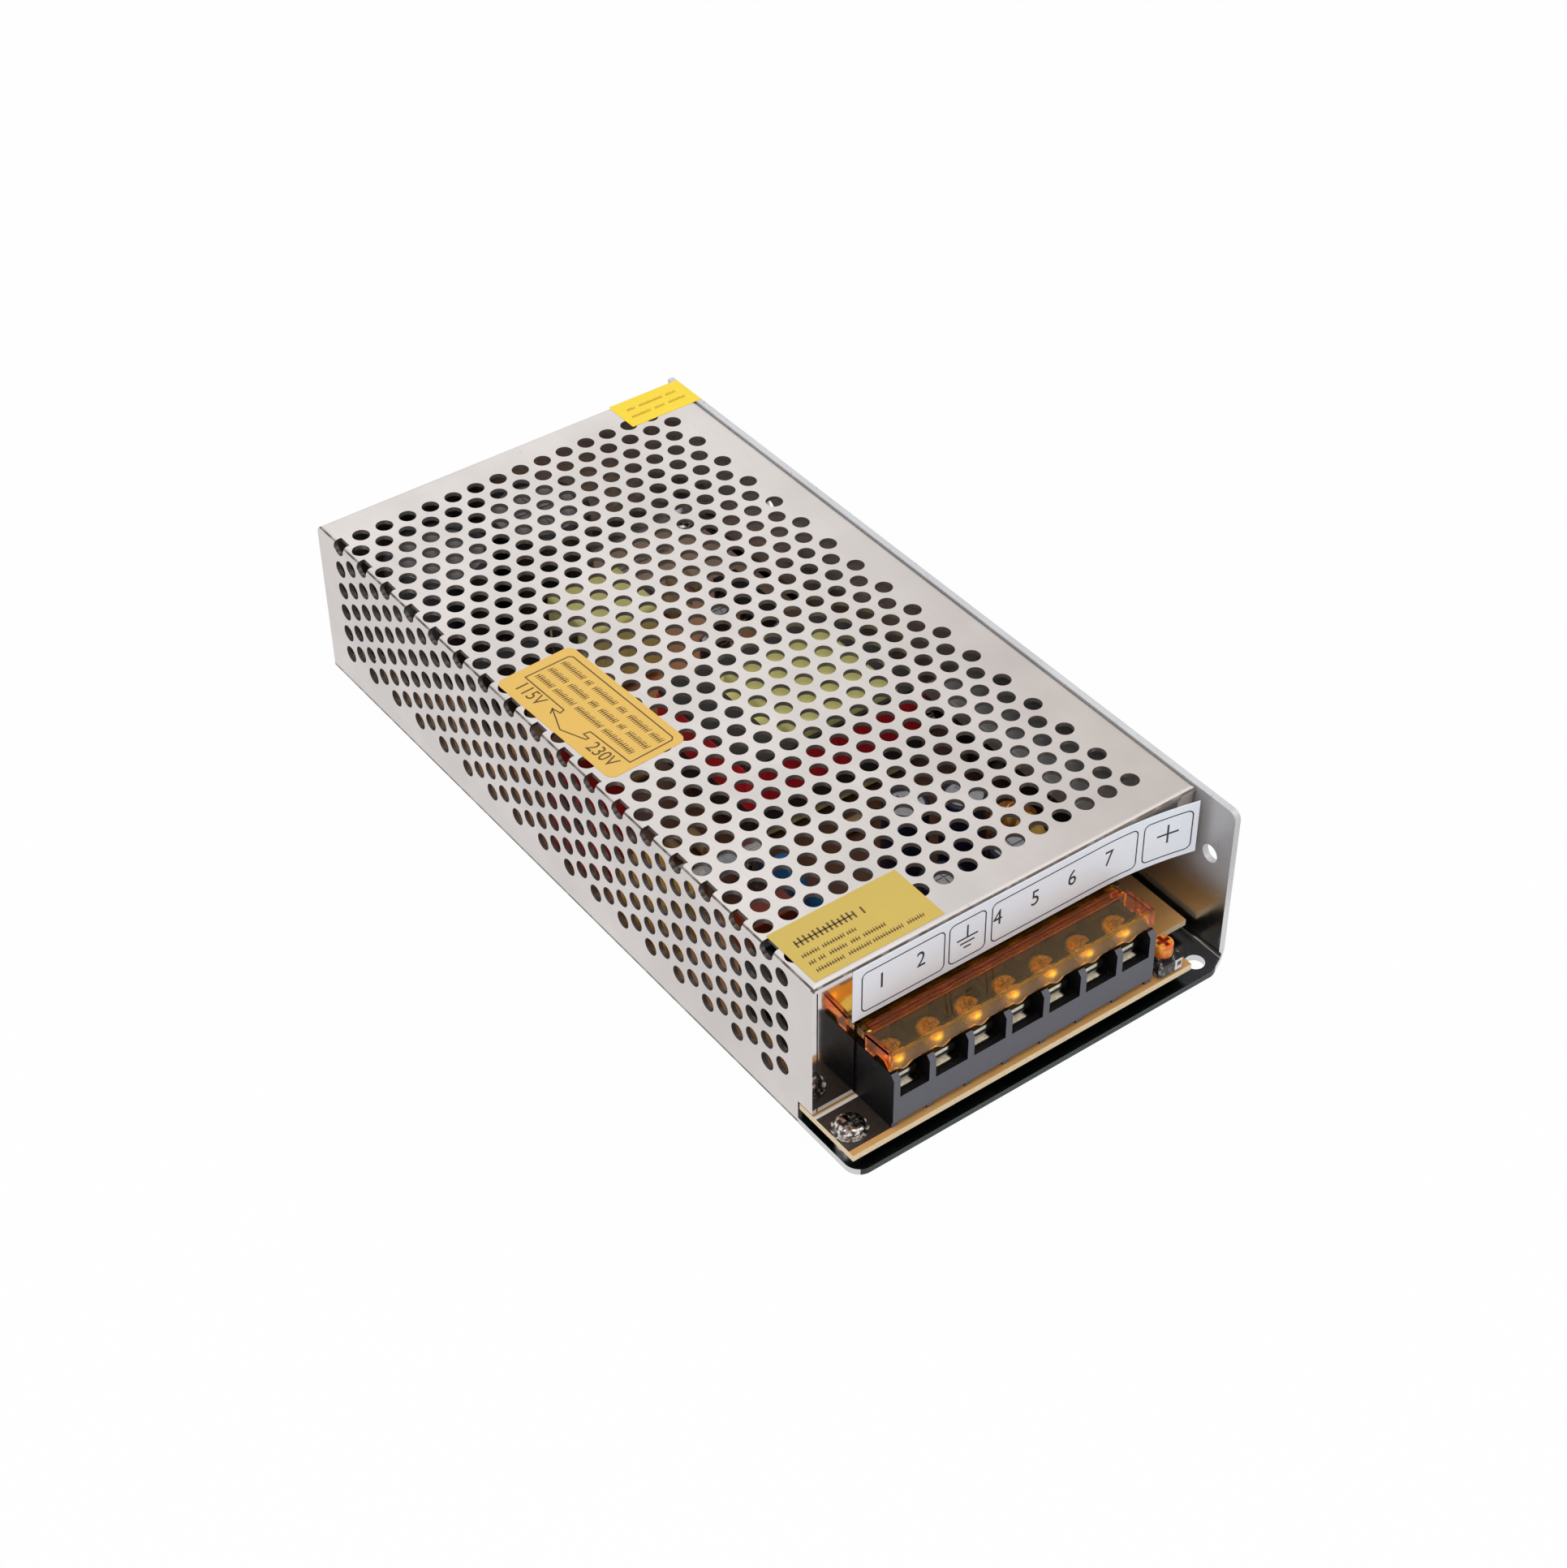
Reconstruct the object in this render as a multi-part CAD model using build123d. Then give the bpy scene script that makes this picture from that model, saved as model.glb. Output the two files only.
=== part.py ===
from build123d import *
import math
import os

# Enclosed switching power supply: perforated cover, sheet chassis, circuit board.
# Millimetres. X runs across the width from the perforated wall to the chassis wall,
# Y along the length with the terminals at -Y, Z up from the resting face.

# Overall size
LENGTH = 199.0
WIDTH = 98.0
HEIGHT = 40.0
LABEL_T = 0.15
LEFT = -WIDTH / 2
RIGHT = WIDTH / 2
FRONT = -LENGTH / 2
BACK = LENGTH / 2

# Sheet metal
CHASSIS_T = 1.5
CHASSIS_BEND = 2.5
COVER_T = 1.0
COVER_BEND = 1.4
COVER_FRONT = -85.6
COVER_BACK = 98.2
COVER_LOW = 0.2
COVER_TOP = HEIGHT - LABEL_T
CORNER_R = 3.5
WALL_FRONT = FRONT + 2.7
WALL_NOSE_R = 2.0
NOSE_CUT = 5.5
NOSE_CUT_R = 3.0
FLANGE_LOW = 32.0
FLANGE_SLANT = 5.0
LIP_LOW = 33.0
LIP_FRONT = -80.0
LIP_BACK = 92.0
NOTCH_Y = 4.6
PANEL_GAP = 0.4
MOUTH_GAP = 0.4

# Perforation: staggered rows of round holes
HOLE_R = 2.0
PITCH_X = 6.0
ROW_STEP = 5.0
ROWS = 34
FIRST_ROW = 89.0
TOP_HOLES = 15
SIDE_HOLES = 5
SIDE_TOP = 36.0

# Circuit board
BOARD_LOW = 4.2
BOARD_T = 1.6
BOARD_TOP = BOARD_LOW + BOARD_T
BOARD_FRONT = -98.4
BOARD_BACK = 92.0
BOARD_GAP = 0.3
BOARD_GAP_RIGHT = 1.5
BOARD_STEP = -88.0
BOARD_NOSE_RIGHT = 38.0
STANDOFF_R = 3.0
SCREW_M3 = 1.5
SCREW_GAP = 0.1
BOARD_SCREWS = [(-45.2, -92.5), (-43.0, 87.5), (42.4, 87.5), (42.4, -6.0)]
HEAD_R = 3.1
HEAD_H = 2.2

# Cover screws in the chassis wall
COVER_SCREW_Y = [-60.0, 15.0, 85.0]
COVER_SCREW_Z = 36.0
SINK_R = 2.8

# Mounting holes of the chassis
BASE_HOLE_X = 50.0
BASE_HOLE_Y = 150.0
BASE_HOLE_R = 1.75
WALL_HOLE_R = 2.1
WALL_HOLE_Z = 25.6
WALL_HOLE_Y = [-91.0, 59.0]
NOSE_HOLE = (42.2, -95.4)
NOSE_HOLE_R = 2.1

# Terminal block
WAYS = 7
WAY_PITCH = 9.5
BLOCK_LEFT = -38.6
BLOCK_RIGHT = BLOCK_LEFT + WAYS * WAY_PITCH
BLOCK_FRONT = -97.5
BLOCK_REAR = -76.5
BLOCK_FOOT = 1.4
BARRIER_T = 1.6
BARRIER_TOP = 20.0
SHELF_Z = 13.8
CELL_REAR = -85.2
REAR_TOP = 22.0
CONTACT_W = 6.0
CONTACT_T = 0.8
SADDLE_W = 5.6
TERMINAL_Y = -90.3

# Transparent terminal cover
PIVOT_Y = -87.0
PIVOT_Z = 23.6
PIVOT_R = 0.6
BARREL_R = 1.1
FLAP_T = 0.9
RIDGE_Y = -96.4
RIDGE_Z = 25.5
LIP_GAP = 0.4
LOBE_LOW = 19.3
LOBE_W = 4.6
LOBE_GAP = 0.4
EAR_Y = 5.0
LUG_T = 1.3
RUN_GAP = 0.05

# Labels
STRIP_LEFT = -39.5
STRIP_RIGHT = 45.5
STRIP_LOW = 25.8
STRIP_TOP = 39.2
STRIP_BEND_X = 22.0
STRIP_CURL = 3.0


def slab(x0, x1, y0, y1, z0, z1):
    """Box between two corners."""
    return Pos((x0 + x1) / 2, (y0 + y1) / 2, (z0 + z1) / 2) * Box(x1 - x0, y1 - y0, z1 - z0)


def post(x, y, z0, z1, r):
    """Upright cylinder."""
    return Pos(x, y, (z0 + z1) / 2) * Cylinder(r, z1 - z0)


def bar_x(x0, x1, y, z, r):
    """Cylinder along X."""
    return Pos((x0 + x1) / 2, y, z) * Rot(0, 90, 0) * Cylinder(r, x1 - x0)


def bar_y(x, y0, y1, z, r):
    """Cylinder along Y."""
    return Pos(x, (y0 + y1) / 2, z) * Rot(90, 0, 0) * Cylinder(r, y1 - y0)


def prism_x(points, x0, x1):
    """Profile of (y, z) points drawn out along X."""
    face = make_face(Polyline([(0, y, z) for y, z in points], close=True))
    return Pos(x0, 0, 0) * extrude(face, amount=x1 - x0, dir=(1, 0, 0))


def prism_y(points, y0, y1):
    """Profile of (x, z) points drawn out along Y."""
    face = make_face(Polyline([(x, 0, z) for x, z in points], close=True))
    return Pos(0, y0, 0) * extrude(face, amount=y1 - y0, dir=(0, 1, 0))


def prism_z(points, z0, z1):
    """Profile of (x, y) points drawn out along Z."""
    face = make_face(Polyline([(x, y, 0) for x, y in points], close=True))
    return Pos(0, 0, z0) * extrude(face, amount=z1 - z0, dir=(0, 0, 1))


def upright_edges(shape, x=None, y=None):
    """Edges along Z, kept by x or y side."""
    edges = shape.edges().filter_by(Axis.Z)
    if x is not None:
        edges = edges.filter_by(lambda e: abs(e.center().X - x) < 0.01)
    if y is not None:
        edges = edges.filter_by(lambda e: abs(e.center().Y - y) < 0.01)
    return edges


# Chassis
def chassis():
    """Base and right wall folded from one sheet."""
    outer = slab(LEFT, RIGHT, FRONT, BACK, 0, COVER_TOP)
    corner = outer.edges().filter_by(Axis.Y).sort_by(lambda e: e.center().X - e.center().Z)[-1]
    outer = fillet(corner, CHASSIS_BEND)
    inner = slab(LEFT - 9, RIGHT - CHASSIS_T, FRONT - 9, BACK + 9, CHASSIS_T, HEIGHT + 9)
    corner = inner.edges().filter_by(Axis.Y).sort_by(lambda e: e.center().X - e.center().Z)[-1]
    inner = fillet(corner, CHASSIS_BEND - CHASSIS_T)
    body = outer - inner
    # The wall's front edge stands back from the base's
    body -= slab(0, RIGHT + 9, FRONT - 9, WALL_FRONT, CHASSIS_BEND, HEIGHT + 9)
    # The base's corner below the wall is cut off at a slant
    corner = [(RIGHT - NOSE_CUT, FRONT), (RIGHT - NOSE_CUT, FRONT - 1), (RIGHT + 1, FRONT - 1),
              (RIGHT + 1, WALL_FRONT), (RIGHT, WALL_FRONT)]
    body -= prism_z(corner, -1, CHASSIS_BEND + 1)
    body = fillet(upright_edges(body, RIGHT - NOSE_CUT, FRONT), NOSE_CUT_R)
    # The base is narrower where it lies between the cover's walls
    body -= slab(LEFT - 9, LEFT + COVER_T, COVER_FRONT + NOTCH_Y, BACK + 9, -1, CHASSIS_T + 1)
    body = fillet(upright_edges(body, LEFT, FRONT), CORNER_R)
    nose = body.edges().filter_by(Axis.X).filter_by(
        lambda e: e.center().Z > COVER_TOP - 0.1 and e.center().Y < WALL_FRONT + 0.1)
    body = fillet(nose, WALL_NOSE_R)
    for x in (-BASE_HOLE_X / 2, BASE_HOLE_X / 2):
        for y in (-BASE_HOLE_Y / 2, BASE_HOLE_Y / 2):
            body -= post(x, y, -1, CHASSIS_T + 1, BASE_HOLE_R)
    body -= post(*NOSE_HOLE, -1, CHASSIS_T + 1, NOSE_HOLE_R)
    for y in WALL_HOLE_Y:
        body -= bar_x(RIGHT - 3, RIGHT + 3, y, WALL_HOLE_Z, WALL_HOLE_R)
    for y in COVER_SCREW_Y:
        body -= bar_x(RIGHT - 3, RIGHT + 3, y, COVER_SCREW_Z, SCREW_M3 + SCREW_GAP)
        body -= countersink(y, SCREW_GAP)
    return body


def countersink(y, gap):
    """Cone of a flush screw head in the chassis wall."""
    depth = SINK_R - SCREW_M3
    cone = Cone(SCREW_M3 + gap, SINK_R + gap, depth)
    return Pos(RIGHT - depth / 2, y, COVER_SCREW_Z) * Rot(0, 90, 0) * cone


def cover_screws():
    """Flush screws that hold the cover to the chassis wall."""
    out = []
    for y in COVER_SCREW_Y:
        screw = bar_x(RIGHT - 5.5, RIGHT - 0.1, y, COVER_SCREW_Z, SCREW_M3)
        screw += countersink(y, 0)
        recess = slab(RIGHT - 0.8, RIGHT + 1, y - 1.6, y + 1.6, COVER_SCREW_Z - 0.3, COVER_SCREW_Z + 0.3)
        recess += slab(RIGHT - 0.8, RIGHT + 1, y - 0.3, y + 0.3, COVER_SCREW_Z - 1.6, COVER_SCREW_Z + 1.6)
        out.append(screw - recess)
    return Compound(children=out)


# Cover
def cover_shell():
    """Folded sheet without its perforation."""
    right = RIGHT - CHASSIS_T
    outer = slab(LEFT, right, COVER_FRONT, COVER_BACK, COVER_LOW, COVER_TOP)
    rim = outer.edges().filter_by(lambda e: e.center().Z > COVER_TOP - 0.1)
    outer = fillet(rim, COVER_BEND)
    inner = slab(LEFT + COVER_T, right - COVER_T, COVER_FRONT + COVER_T, COVER_BACK - COVER_T,
                 COVER_LOW - 5, COVER_TOP - COVER_T)
    rim = inner.edges().filter_by(lambda e: e.center().Z > COVER_TOP - COVER_T - 0.1)
    inner = fillet(rim, COVER_BEND - COVER_T)
    body = outer - inner
    # Mouth for the terminals; the flange reaches down to the board on the left of them
    edge = BLOCK_LEFT - MOUTH_GAP
    mouth = [(edge, -5), (edge, FLANGE_LOW), (right - FLANGE_SLANT - 0.5, FLANGE_LOW),
             (right - 0.3, COVER_TOP - 2.4), (right + 5, COVER_TOP - 2.4), (right + 5, -5)]
    body -= prism_y(mouth, COVER_FRONT - 1, COVER_FRONT + COVER_T + COVER_BEND)
    foot = BOARD_TOP + PANEL_GAP
    body -= slab(LEFT + COVER_T, edge + 1, COVER_FRONT - 1, COVER_FRONT + COVER_T + 0.5, -5, foot)
    # The right wall is only a short lip behind the chassis wall
    body -= slab(right - COVER_T - 0.01, right + 1, COVER_FRONT - 1, COVER_BACK - COVER_T, -5, LIP_LOW)
    body -= slab(right - COVER_T - 0.01, right + 1, COVER_FRONT - 1, LIP_FRONT, LIP_LOW - 1, COVER_TOP - COVER_T)
    body -= slab(right - COVER_T - 0.01, right + 1, LIP_BACK, COVER_BACK - COVER_T, LIP_LOW - 1,
                 COVER_TOP - COVER_T)
    # End wall clears the chassis base and the chassis wall's bend
    body -= slab(LEFT + COVER_T, right + 1, COVER_BACK - 2.5, COVER_BACK + 1, -5, CHASSIS_T + 0.2)
    body -= slab(right - 1.2, right + 1, COVER_BACK - 2.5, COVER_BACK + 1, -5, 3.2)
    # Fold relief between the left wall and the walls at both ends
    slit = LEFT + COVER_T + 0.3
    body -= slab(LEFT + COVER_T, slit, COVER_BACK - 1.2, COVER_BACK + 1, -5, COVER_TOP - COVER_BEND)
    body -= slab(LEFT + COVER_T, slit, COVER_FRONT - 1, COVER_FRONT + 1.2, -5, COVER_TOP - COVER_BEND)
    # The left wall's front foot is cut away over the base
    body -= slab(LEFT - 1, LEFT + 2, COVER_FRONT - 1, COVER_FRONT + NOTCH_Y, -5, foot)
    for y in COVER_SCREW_Y:
        body -= bar_x(right - 3, right + 1, y, COVER_SCREW_Z, SCREW_M3 + SCREW_GAP)
    return body


def top_hole_places():
    """Centres of the top's holes; every second row also bites the bend."""
    out = []
    for row in range(ROWS):
        shift = 0.5 if row % 2 else 0.0
        for i in range(TOP_HOLES):
            out.append((LEFT + PITCH_X * (i + shift), FIRST_ROW - ROW_STEP * row))
    return out


def side_hole_places():
    """Centres (y, z) of the left wall's holes."""
    out = []
    for row in range(ROWS):
        y = FIRST_ROW - ROW_STEP * row
        drop = 0.0 if row % 2 else PITCH_X / 2
        for i in range(SIDE_HOLES):
            out.append((y, SIDE_TOP - drop - PITCH_X * i))
        if row % 2 == 0:
            out.append((y, SIDE_TOP + PITCH_X / 2))
    return out


def cover():
    """Perforated cover: top, left wall, end wall, front flange and right lip."""
    body = cover_shell()
    depth = 3.0
    down = [Pos(x, y, COVER_TOP - depth / 2 + 1) * Cylinder(HOLE_R, depth) for x, y in top_hole_places()]
    body = body - down
    across = [Pos(LEFT + depth / 2 - 1, y, z) * Rot(0, 90, 0) * Cylinder(HOLE_R, depth)
              for y, z in side_hole_places()]
    return body - across


# Circuit board and what holds it
def circuit_board():
    """Board with its wide nose in front of the cover."""
    left = LEFT + COVER_T + BOARD_GAP
    right = RIGHT - CHASSIS_T - BOARD_GAP_RIGHT
    step = COVER_FRONT + NOTCH_Y - 0.4
    outline = [(LEFT + 0.1, BOARD_FRONT), (BOARD_NOSE_RIGHT, BOARD_FRONT), (BOARD_NOSE_RIGHT, BOARD_STEP),
               (right, BOARD_STEP), (right, BOARD_BACK), (left, BOARD_BACK), (left, step), (LEFT + 0.1, step)]
    body = prism_z(outline, BOARD_LOW, BOARD_TOP)
    for x, y in BOARD_SCREWS:
        body -= post(x, y, BOARD_LOW - 1, BOARD_TOP + 1, SCREW_M3 + SCREW_GAP)
    return body


def board_standoffs():
    """Tapped spacers pressed on the base."""
    out = []
    for x, y in BOARD_SCREWS:
        spacer = post(x, y, CHASSIS_T, BOARD_LOW, STANDOFF_R)
        spacer -= post(x, y, CHASSIS_T - 1, BOARD_LOW + 1, SCREW_M3 + SCREW_GAP)
        out.append(spacer)
    return Compound(children=out)


def pan_head(x, y, z, r, height):
    """Round screw head with a cross recess, standing on z."""
    head = post(x, y, z, z + height, r)
    rim = head.edges().filter_by(lambda e: e.center().Z > z + height - 0.01)
    head = fillet(rim, height * 0.45)
    reach = r * 0.62
    half = r * 0.13
    low = z + height * 0.45
    head -= slab(x - reach, x + reach, y - half, y + half, low, z + height + 1)
    head -= slab(x - half, x + half, y - reach, y + reach, low, z + height + 1)
    return head


def board_screws():
    """Pan-head screws through the board into the spacers."""
    out = []
    for x, y in BOARD_SCREWS:
        screw = pan_head(x, y, BOARD_TOP, HEAD_R, HEAD_H)
        screw += post(x, y, CHASSIS_T + 0.3, BOARD_TOP, SCREW_M3)
        out.append(screw)
    return Compound(children=out)


# Terminal block
def way_centres():
    """X of each terminal."""
    return [BLOCK_LEFT + WAY_PITCH * (i + 0.5) for i in range(WAYS)]


def barrier_spans():
    """X span of each barrier, the outer two inside the block's ends."""
    out = []
    for i in range(WAYS + 1):
        x = BLOCK_LEFT + WAY_PITCH * i
        low = x if i == 0 else x - BARRIER_T / 2
        high = x if i == WAYS else x + BARRIER_T / 2
        if i == 0:
            high = x + BARRIER_T
        if i == WAYS:
            low = x - BARRIER_T
        out.append((low, high))
    return out


def terminal_block():
    """Moulded body with open cells between its barriers."""
    body = slab(BLOCK_LEFT, BLOCK_RIGHT, BLOCK_FRONT, BLOCK_REAR, BOARD_TOP, SHELF_Z)
    body += slab(BLOCK_LEFT, BLOCK_RIGHT, CELL_REAR, BLOCK_REAR, SHELF_Z, BARRIER_TOP)
    side = [(BLOCK_FRONT, SHELF_Z - 1), (BLOCK_REAR, SHELF_Z - 1), (BLOCK_REAR, BARRIER_TOP),
            (BLOCK_FRONT + 1, BARRIER_TOP), (BLOCK_FRONT, BARRIER_TOP - 1)]
    for low, high in barrier_spans():
        body += prism_x(side, low, high)
    # Foot line: the front panel hangs clear of the board between small feet
    body -= slab(BLOCK_LEFT - 1, BLOCK_RIGHT + 1, BLOCK_FRONT - 1, BLOCK_FRONT + 1.2, BOARD_TOP - 1,
                 BOARD_TOP + BLOCK_FOOT)
    for low, high in barrier_spans():
        body += slab(low, high, BLOCK_FRONT + 0.4, BLOCK_FRONT + 1.2, BOARD_TOP, BOARD_TOP + BLOCK_FOOT)
    # Screw wells and slots for the contact pins
    for x in way_centres():
        body -= post(x, TERMINAL_Y, BOARD_TOP + 2.5, SHELF_Z + 1, SCREW_M3 + 0.3)
        body -= slab(x - 2.2, x + 2.2, CELL_REAR - 1, CELL_REAR + 1.6, SHELF_Z, SHELF_Z + 1.1)
        body -= slab(x - 2.2, x + 2.2, CELL_REAR + 0.4, CELL_REAR + 1.6, BOARD_TOP - 1, SHELF_Z + 1.1)
    return body


def contact(x):
    """Tinned strip on the cell's floor, folded down behind the cell to its solder tail."""
    top = SHELF_Z + CONTACT_T
    back = CELL_REAR + 1.0 + CONTACT_T / 2
    body = slab(x - CONTACT_W / 2, x + CONTACT_W / 2, BLOCK_FRONT + 1.6, CELL_REAR - 0.2, SHELF_Z, top)
    body -= post(x, TERMINAL_Y, SHELF_Z - 1, SHELF_Z + 2, SCREW_M3 + SCREW_GAP)
    body += slab(x - 2.0, x + 2.0, CELL_REAR - 0.2, back, SHELF_Z, top)
    body += slab(x - 2.0, x + 2.0, back - CONTACT_T, back, BOARD_TOP, top)
    return body


def terminal_contacts():
    """One contact strip a terminal."""
    return Compound(children=[contact(x) for x in way_centres()])


def saddle(x):
    """Wire clamp: a plate under the screw head with two pressed ribs and a front lip."""
    low = SHELF_Z + 2.0
    half = SADDLE_W / 2
    body = slab(x - half, x + half, -94.9, CELL_REAR - 0.4, low + 0.6, low + 1.4)
    body += slab(x - half, x + half, -94.9, -94.1, low - 0.6, low + 0.6)
    for side in (-1, 1):
        body += bar_y(x + side * half * 0.55, -94.9, CELL_REAR - 0.4, low + 0.6, 0.5)
    body -= post(x, TERMINAL_Y, low - 1, low + 3, SCREW_M3 + SCREW_GAP)
    return body


def terminal_clamps():
    """Wire clamps of all terminals."""
    return Compound(children=[saddle(x) for x in way_centres()])


def terminal_screws():
    """Clamp screws of all terminals."""
    out = []
    seat = SHELF_Z + 3.4
    for x in way_centres():
        screw = pan_head(x, TERMINAL_Y, seat, 2.7, 2.3)
        screw += post(x, TERMINAL_Y, BOARD_TOP + 3.5, seat, SCREW_M3)
        out.append(screw)
    return Compound(children=out)


# Terminal cover
def terminal_cover_rear():
    """Fixed strip behind the flap, on the block, with the two pivot lugs."""
    body = slab(BLOCK_LEFT, BLOCK_RIGHT, PIVOT_Y + 1.6, BLOCK_REAR, BARRIER_TOP, BARRIER_TOP + 0.9)
    body += slab(BLOCK_LEFT, BLOCK_RIGHT, PIVOT_Y + 1.6, PIVOT_Y + 2.5, BARRIER_TOP, PIVOT_Z + 1.0)
    body += prism_x([(PIVOT_Y + 1.6, BARRIER_TOP), (BLOCK_REAR, BARRIER_TOP), (BLOCK_REAR, REAR_TOP + 1.4),
                     (PIVOT_Y + 8, REAR_TOP + 1.4), (PIVOT_Y + 1.6, BARRIER_TOP + 1)],
                    BLOCK_LEFT, BLOCK_LEFT + 1.2)
    body += prism_x([(PIVOT_Y + 1.6, BARRIER_TOP), (BLOCK_REAR, BARRIER_TOP), (BLOCK_REAR, REAR_TOP + 1.4),
                     (PIVOT_Y + 8, REAR_TOP + 1.4), (PIVOT_Y + 1.6, BARRIER_TOP + 1)],
                    BLOCK_RIGHT - 1.2, BLOCK_RIGHT)
    for end, inward in ((BLOCK_LEFT, 1), (BLOCK_RIGHT, -1)):
        low = min(end, end + inward * LUG_T)
        high = max(end, end + inward * LUG_T)
        body += slab(low, high, PIVOT_Y - 1, PIVOT_Y + 1.7, PIVOT_Z - 1, PIVOT_Z + 1)
        tip = end + inward * (LUG_T + 2.0)
        body += bar_x(min(end, tip), max(end, tip), PIVOT_Y, PIVOT_Z, PIVOT_R)
    return body


def terminal_cover():
    """Hinged flap: barrel, plate with an ear at each end, front lip with a lobe in each cell."""
    low = BLOCK_LEFT + LUG_T + 0.3
    high = BLOCK_RIGHT - LUG_T - 0.3
    barrel = bar_x(low, high, PIVOT_Y, PIVOT_Z, BARREL_R)
    top = PIVOT_Z + BARREL_R
    neck = prism_x([(PIVOT_Y, top), (PIVOT_Y - 1.6, top + 0.1), (PIVOT_Y - 1.6, top + 0.1 - FLAP_T),
                    (PIVOT_Y, top - FLAP_T)], low, high)
    plate = prism_x([(PIVOT_Y - 1.5, top + 0.1), (RIDGE_Y + 0.8, RIDGE_Z), (RIDGE_Y, RIDGE_Z - 0.7),
                     (RIDGE_Y, BARRIER_TOP + LIP_GAP), (RIDGE_Y + FLAP_T, BARRIER_TOP + LIP_GAP),
                     (RIDGE_Y + FLAP_T, RIDGE_Z - FLAP_T), (PIVOT_Y - 1.5, top + 0.1 - FLAP_T)],
                    BLOCK_LEFT, BLOCK_RIGHT)
    body = barrel + neck + plate
    for x in way_centres():
        body += lobe(x)
    for end in (BLOCK_LEFT, BLOCK_RIGHT - 0.8):
        body += prism_x([(PIVOT_Y - 1.5, top), (RIDGE_Y + 0.2, RIDGE_Z - 0.6), (RIDGE_Y + 0.2, BARRIER_TOP + LIP_GAP),
                         (RIDGE_Y + 2, BARRIER_TOP + 2), (PIVOT_Y - EAR_Y, BARRIER_TOP + 2),
                         (PIVOT_Y - EAR_Y + 1, BARRIER_TOP + LIP_GAP), (PIVOT_Y - 1.5, BARRIER_TOP + LIP_GAP)],
                        end, end + 0.8)
    for end in (low, high):
        body -= bar_x(end - 2.2, end + 2.2, PIVOT_Y, PIVOT_Z, PIVOT_R + RUN_GAP)
    return body


def lobe(x):
    """Part of the lip that dips into the cell, close to the barrier on its left."""
    low = x - (WAY_PITCH - BARRIER_T) / 2 + LOBE_GAP
    high = low + LOBE_W
    top = BARRIER_TOP + LIP_GAP + 0.2
    edge = BuildLine(Plane.XZ)
    with edge:
        Polyline((high, top), (low, top))
        ThreePointArc((low, top), ((low + high) / 2, LOBE_LOW), (high, top))
    face = make_face(edge.line.edges())
    solid = extrude(face, amount=FLAP_T, dir=(0, 1, 0))
    return Pos(0, RIDGE_Y, 0) * solid


# Labels
def strip_path(x):
    """Y of the terminal label's back face, flat on the flange and curling away at its right end."""
    t = max(0.0, (x - STRIP_BEND_X) / (STRIP_RIGHT - STRIP_BEND_X))
    return COVER_FRONT - STRIP_CURL * t * t


def terminal_label():
    """Paper strip on the front flange, its right end curling forward."""
    span = STRIP_RIGHT - STRIP_BEND_X
    bend = [(STRIP_BEND_X + span * i / 6, strip_path(STRIP_BEND_X + span * i / 6)) for i in range(7)]
    with BuildLine() as outline:
        Line((STRIP_LEFT, COVER_FRONT), bend[0])
        back = Spline(bend, tangents=[(1, 0), (span, -2 * STRIP_CURL)])
        Line(bend[-1], (bend[-1][0], bend[-1][1] - LABEL_T))
        Spline([(x, y - LABEL_T) for x, y in reversed(bend)], tangents=[(-span, 2 * STRIP_CURL), (-1, 0)])
        Line((bend[0][0], COVER_FRONT - LABEL_T), (STRIP_LEFT, COVER_FRONT - LABEL_T))
        Line((STRIP_LEFT, COVER_FRONT - LABEL_T), (STRIP_LEFT, COVER_FRONT))
    face = make_face(outline.edges())
    return Pos(0, 0, STRIP_LOW) * extrude(face, amount=STRIP_TOP - STRIP_LOW, dir=(0, 0, 1))


def flat_label(x, y, w, h, turn, radius):
    """Thin sticker on the cover's top."""
    body = Box(w, h, LABEL_T)
    body = fillet(body.edges().filter_by(Axis.Z), radius)
    return Pos(x, y, HEIGHT - LABEL_T / 2) * Rot(0, 0, turn) * body


def voltage_label():
    """Orange sticker beside the voltage selector."""
    return flat_label(*VOLTAGE_LABEL)


def front_label():
    """Yellow sticker at the front left of the top."""
    return flat_label(*FRONT_LABEL)


def corner_seal():
    """Yellow seal over the far right corner of the top."""
    return flat_label(*CORNER_SEAL)


# Output trimmer
def trimmer_base():
    """Square carrier with a bearing stub and three solder legs."""
    x, y = TRIMMER
    half = TRIMMER_SIZE / 2
    low = BOARD_TOP + 0.6
    body = slab(x - half, x + half, y - half, y + half, low, TRIMMER_TOP)
    body = chamfer(body.edges().filter_by(Axis.Z), 0.5)
    body += post(x, y, TRIMMER_TOP, TRIMMER_TOP + 0.6, 2.5)
    body += post(x, y, TRIMMER_TOP, TRIMMER_TOP + 2.2, 0.8)
    for dx, dy in ((-2.2, -2.2), (2.2, -2.2), (0, 2.2)):
        body += post(x + dx, y + dy, BOARD_TOP, low + 0.1, 0.45)
    return body


def trimmer_rotor():
    """Round adjuster with a cross slot, turning on the stub."""
    x, y = TRIMMER
    low = TRIMMER_TOP + 0.7
    body = post(x, y, low, ROTOR_TOP, ROTOR_R)
    body = chamfer(body.edges().filter_by(lambda e: e.center().Z > ROTOR_TOP - 0.01), 0.35)
    body -= slab(x - 1.5, x + 1.5, y - 0.35, y + 0.35, ROTOR_TOP - 0.9, ROTOR_TOP + 1)
    body -= slab(x - 0.35, x + 0.35, y - 1.5, y + 1.5, ROTOR_TOP - 0.9, ROTOR_TOP + 1)
    return body - post(x, y, low - 1, TRIMMER_TOP + 2.4, 0.8 + RUN_GAP)


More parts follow.
